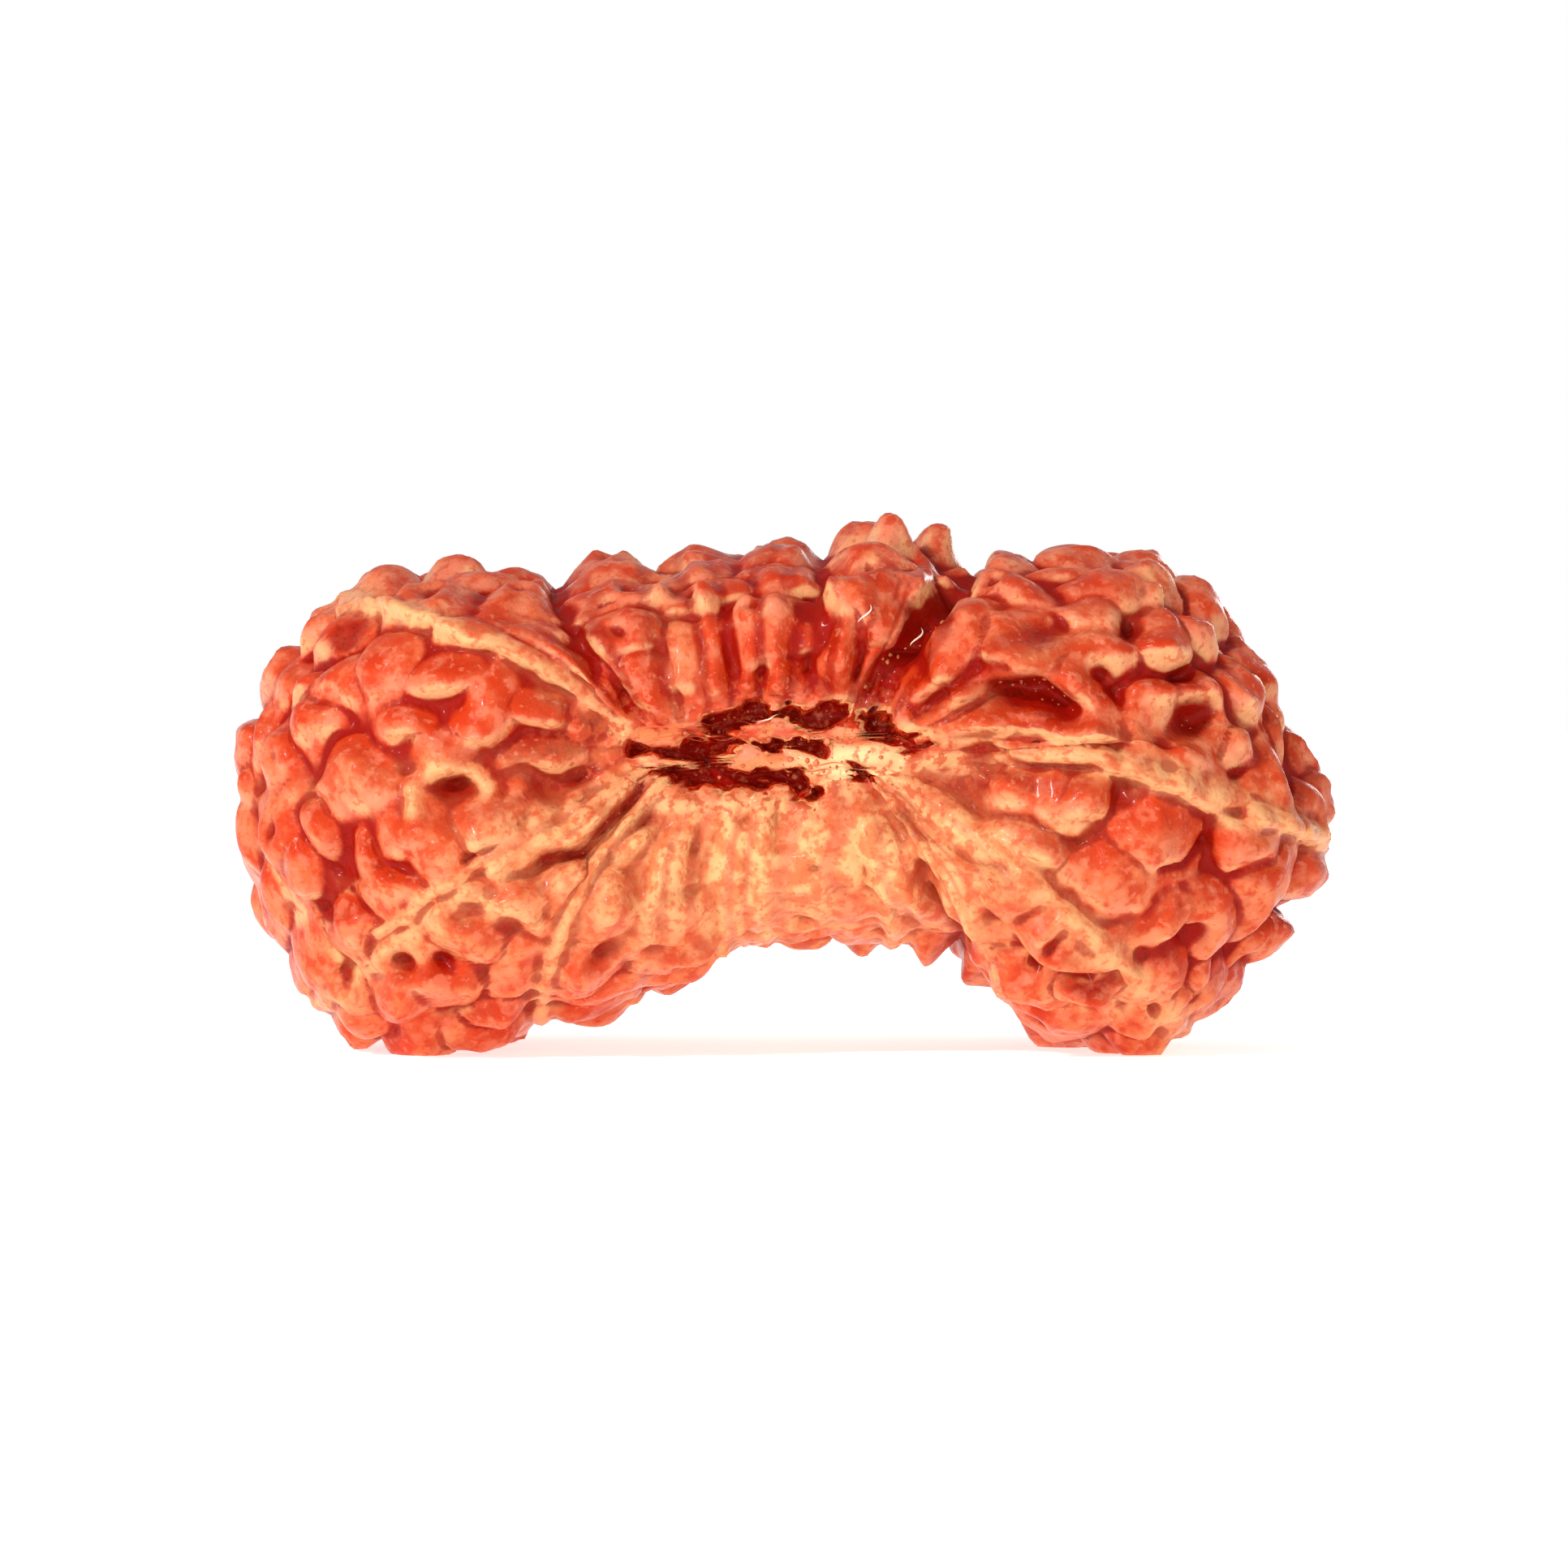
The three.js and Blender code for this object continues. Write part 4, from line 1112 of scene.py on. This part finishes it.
class Recipe:
    """Short names for the material's nodes."""

    def __init__(self, name):
        self.material = bpy.data.materials.new(name)
        self.material.use_nodes = True
        self.nodes = self.material.node_tree.nodes
        self.links = self.material.node_tree.links
        self.shader = self.nodes["Principled BSDF"].inputs

    def node(self, kind, inputs, **settings):
        """A new node's outputs, its inputs filled with numbers and colours or linked to other nodes."""
        made = self.nodes.new("ShaderNode" + kind)
        for name, value in settings.items():
            setattr(made, name, value)
        for name, value in inputs.items():
            if isinstance(value, bpy.types.NodeSocket):
                self.links.new(value, made.inputs[name])
            else:
                made.inputs[name].default_value = (*value, 1) if isinstance(value, tuple) else value
        return made.outputs

    def field(self, name):
        return self.node("Attribute", {}, attribute_name=name)["Fac"]

    def ramp(self, value, low, high, start=0.0, stop=1.0):
        """value's run from low to high, eased to start..stop."""
        inputs = {"Value": value, "From Min": low, "From Max": high, "To Min": start, "To Max": stop}
        return self.node("MapRange", inputs, interpolation_type="SMOOTHSTEP")["Result"]

    def math(self, operation, a, b):
        return self.node("Math", {0: a, 1: b}, operation=operation)[0]

    def times(self, a, b):
        return self.math("MULTIPLY", a, b)

    def plus(self, a, b):
        return self.math("ADD", a, b)

    def mix(self, factor, first, second):
        """The colour that is first at 0 and second at 1. A mix node's colours are its sockets 6, 7 and 2."""
        return self.node("Mix", {0: factor, 6: first, 7: second}, data_type="RGBA")[2]

    def noise(self, size, detail):
        """Noise from 0 to 1 with lumps about size millimetres across."""
        place = self.node("TexCoord", {})["Object"]
        scaled = self.node("Mapping", {"Vector": place, "Scale": [1 / (size * MM)] * 3})["Vector"]
        return self.node("TexNoise", {"Vector": scaled, "Scale": 1.0, "Detail": detail})["Fac"]

    def bump(self, height, strength, distance):
        inputs = {"Height": height, "Strength": strength, "Distance": distance * MM}
        self.links.new(self.node("Bump", inputs)["Normal"], self.shader["Normal"])


def coated(r, seen, colour, coats):
    """The colour with coats of others laid over it."""
    for name, low, high, strength, coat in coats:
        colour = r.mix(r.ramp(getattr(seen, name), low, high, 0.0, strength), colour, coat)
    return colour


def knob_colour(r, seen):
    """Orange-red and salmon patches, peach lower down, with painted shade on knob tops and painted light
    beneath.
    """
    colour = r.mix(r.ramp(r.noise(1.6, 5), 0.35, 0.65), ORANGE_RED, SALMON)
    low_patches = r.ramp(r.noise(2.2, 4), 0.3, 0.7, 0.3, 0.9)
    return coated(r, seen, r.mix(r.times(seen.lower, low_patches), colour, PEACH), KNOB_COATS)


def add_cream_sides(r, seen, colour):
    """Cream low ground, painted light in cream on knobs' undersides, and red between the flutes above the
    slit.
    """
    low_ground = r.times(r.ramp(seen.lower, 0.2, 0.9), r.ramp(seen.height, -0.05, -0.35))
    ground_patches = r.ramp(r.noise(1.3, 4), 0.42, 0.62, 0.0, 0.8)
    colour = r.mix(r.times(low_ground, ground_patches), colour, CREAM)
    high_fan = r.times(seen.fan, r.ramp(seen.lower, 0.4, 0.0, 0.1, 1.0))
    colour = r.mix(r.times(high_fan, r.ramp(seen.flute, 0.1, -0.9, 0.0, 0.75)), colour, DEEP_RED)
    # Painted light: cream where a knob's side faces down, as if lit from below.
    under = r.plus(seen.facing, r.ramp(r.noise(0.9, 4), 0.35, 0.65, -0.12, 0.12))
    return r.mix(r.ramp(under, -0.15, -0.5, 0.0, 0.65), colour, CREAM)


def add_hollows(r, seen, colour, hollow_shade):
    """Fine mottling, then painted shade in the wide hollows and along the seams between knobs."""
    depths = r.plus(seen.cavity, r.ramp(r.noise(1.1, 4), 0.3, 0.7, -0.05, 0.05))
    colour = coated(r, seen, colour, MOTTLING)
    colour = r.mix(r.ramp(depths, 0.07, 0.2, 0.0, 0.95), colour, hollow_shade)
    return r.mix(r.times(seen.seam, r.ramp(r.noise(1.7, 3), 0.4, 0.6, 0.0, 0.45)), colour, hollow_shade)


def add_pale_lines(r, seen, colour, hollow_shade):
    """The cream lines and folds, and painted shade in the finest hollows over them."""
    pale = r.times(seen.pale, r.ramp(r.noise(0.9, 5), 0.35, 0.6, 0.25, 1.0))
    cream = r.mix(r.ramp(seen.grain, 0.5, 0.36, 0.0, 0.7), CREAM, PEACH)
    colour = r.mix(r.times(pale, 0.8), colour, cream)
    return r.mix(r.ramp(seen.fine_cavity, 0.015, 0.06, 0.0, 0.6), colour, hollow_shade)


def add_pits(r, seen, colour):
    """Painted shade, deep red, in the pits and clefts, dark specks of dirt there, and the rusty crust beside
    the slit.
    """
    near = r.math("MAXIMUM", seen.pit, seen.cleft)
    # Painted shade: deep red down in the pits and clefts.
    colour = r.mix(r.ramp(near, 0.15, 0.6, 0.0, 0.85), colour, DEEP_RED)
    crusty = r.times(seen.rim_of_slit, r.ramp(seen.grain, 0.5, 0.38, 0.0, 0.8))
    colour = r.mix(crusty, colour, RUST)
    specks = r.ramp(r.noise(0.2, 5), 0.55, 0.64)
    return r.mix(r.times(r.ramp(near, 0.1, 0.6, 0.08, 0.5), specks), colour, DIRT)


def add_shelves(r, seen, colour):
    """The fibrous shelves inside the slit, with the pale plate at the right."""
    shelf = coated(r, seen, ORANGE_RED, SHELF_COATS)
    plate = r.mix(r.ramp(seen.flute, -0.7, 0.0), PEACH, PALE_CREAM)
    on_shelf = r.times(seen.shelf, r.ramp(seen.grain, 0.36, 0.46, 0.35, 1.0))
    return r.mix(on_shelf, colour, r.mix(seen.plate, shelf, plate))


def add_crevices(r, seen, colour):
    """Down into a crevice: a broken cream edge, then painted shade: an orange-red wall and a deep red floor
    mottled with rust.
    """
    crevice = r.times(seen.crevice, r.ramp(seen.grain, 0.35, 0.65, 0.5, 1.6))
    broken = r.ramp(r.noise(0.8, 4), 0.48, 0.56, 0.0, 0.75)
    floor = r.mix(r.ramp(r.noise(0.25, 6), 0.5, 0.68), DEEP_RED, RUST)
    colour = r.mix(r.times(r.ramp(crevice, 0.01, 0.08), broken), colour, CREAM)
    # Painted shade: darker deeper into the crevice.
    colour = r.mix(r.ramp(crevice, 0.16, 0.3), colour, ORANGE_RED)
    return r.mix(r.ramp(crevice, 0.28, 0.5), colour, floor)


def shell_colour(r, seen):
    """Red-orange knobs with painted light in cream beneath, painted shade in deep red in the hollows, and
    cream lines and low ground.
    """
    low_fan = r.times(seen.fan, r.ramp(seen.lower, 0.05, 0.5))
    # The painted shade's colour for hollows and seams: deep red, and rust in the lower fan.
    hollow_shade = r.mix(low_fan, DEEP_RED, RUST)
    colour = add_cream_sides(r, seen, knob_colour(r, seen))
    colour = add_hollows(r, seen, colour, hollow_shade)
    colour = add_pale_lines(r, seen, colour, hollow_shade)
    colour = r.mix(r.times(low_fan, 0.85), colour, coated(r, seen, PEACH, LOW_FAN_COATS))
    colour = add_pits(r, seen, colour)
    return add_crevices(r, seen, add_shelves(r, seen, colour))


def shell_material():
    r = Recipe("seed_shell")
    seen = Named(**{name: r.field(name) for name in SHELL_FIELDS})
    seen.blotch = r.noise(0.7, 6)
    seen.grain = r.noise(0.32, 5)
    seen.specks = r.noise(0.22, 5)
    r.links.new(shell_colour(r, seen), r.shader["Base Color"])
    gloss = r.ramp(r.noise(0.8, 4), 0.3, 0.7, 0.13, 0.32)
    r.links.new(r.plus(gloss, r.ramp(seen.cavity, 0.02, 0.2, 0.0, 0.3)), r.shader["Roughness"])
    for name, value in SHELL_SHADER.items():
        r.shader[name].default_value = value
    r.bump(r.plus(r.noise(0.45, 6), r.times(r.noise(0.16, 4), 0.3)), 0.7, 0.12)
    return r.material


def litter_material(name, dark, light, roughness):
    """Each crumb or fibre has a shade of its own between dark and light, mottled along its length."""
    r = Recipe(name)
    shade = r.plus(r.field("shade"), r.ramp(r.noise(0.3, 3), 0.3, 0.7, -0.25, 0.25))
    r.links.new(r.mix(shade, dark, light), r.shader["Base Color"])
    r.shader["Roughness"].default_value = roughness
    r.bump(r.noise(0.08, 3), 0.3, 0.03)
    return r.material


def make_camera(low, high):
    """Looks at the slit, a little from above, with the seed as large in the frame as in the photo."""
    camera_data = bpy.data.cameras.new("camera")
    camera = new_object("camera", camera_data)
    camera_data.lens = LENS
    camera_data.sensor_width = SENSOR
    centre = (low + high) / 2
    distance = (high.x - low.x) / SHARE_OF_FRAME * LENS / SENSOR
    lift = math.radians(CAMERA_LIFT)
    back = Vector((0, -math.cos(lift), math.sin(lift)))
    camera.location = centre + back * distance
    camera.rotation_euler = (-back).to_track_quat("-Z", "Y").to_euler()
    camera_data.clip_start = 0.005
    camera_data.clip_end = 5
    bpy.context.scene.camera = camera


def make_floor():
    """A plain pale floor that glows a little, to be as white as the studio."""
    mesh = bpy.data.meshes.new("floor")
    mesh.from_pydata([(-1, -1, 0), (1, -1, 0), (1, 1, 0), (-1, 1, 0)], [], [(0, 1, 2, 3)])
    floor = new_object("floor", mesh)
    material = bpy.data.materials.new("floor")
    material.use_nodes = True
    shader = material.node_tree.nodes["Principled BSDF"]
    for name, value in FLOOR_SHADER.items():
        shader.inputs[name].default_value = value
    mesh.materials.append(material)


def make_sky():
    """The studio round the seed, its strength falling off with height."""
    world = bpy.data.worlds.new("studio")
    bpy.context.scene.world = world
    world.use_nodes = True
    nodes = world.node_tree.nodes
    links = world.node_tree.links
    background = nodes["Background"]
    way = nodes.new("ShaderNodeTexCoord")
    split = nodes.new("ShaderNodeSeparateXYZ")
    fall = nodes.new("ShaderNodeMapRange")
    fall.interpolation_type = "SMOOTHSTEP"
    for name, value in SKY.items():
        fall.inputs[name].default_value = value
    links.new(way.outputs["Generated"], split.inputs["Vector"])
    links.new(split.outputs["Z"], fall.inputs["Value"])
    links.new(fall.outputs["Result"], background.inputs["Strength"])
    background.inputs["Color"].default_value = (1, 1, 1, 1)


def make_light(name, place, target, size, power):
    """A soft square lamp at place, turned to target."""
    data = bpy.data.lights.new(name, "AREA")
    data.size = size
    data.energy = power
    light = new_object(name, data)
    light.location = place
    light.rotation_euler = (Vector(target) - Vector(place)).to_track_quat("-Z", "Y").to_euler()


make_camera(cad_low, cad_high)
make_floor()
make_sky()
for light in LIGHTS:
    make_light(*light)
bpy.context.scene.view_settings.view_transform = "Standard"

seed = make_seed(shell_material())
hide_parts(NODE)
make_crumbs(litter_material("crumbs", RUST, PEACH, 0.6))
make_fibres(litter_material("slit_fibres", ORANGE_RED, PEACH, 0.6))
make_hairs(litter_material("hairs", CREAM, CLEAR, 0.2))
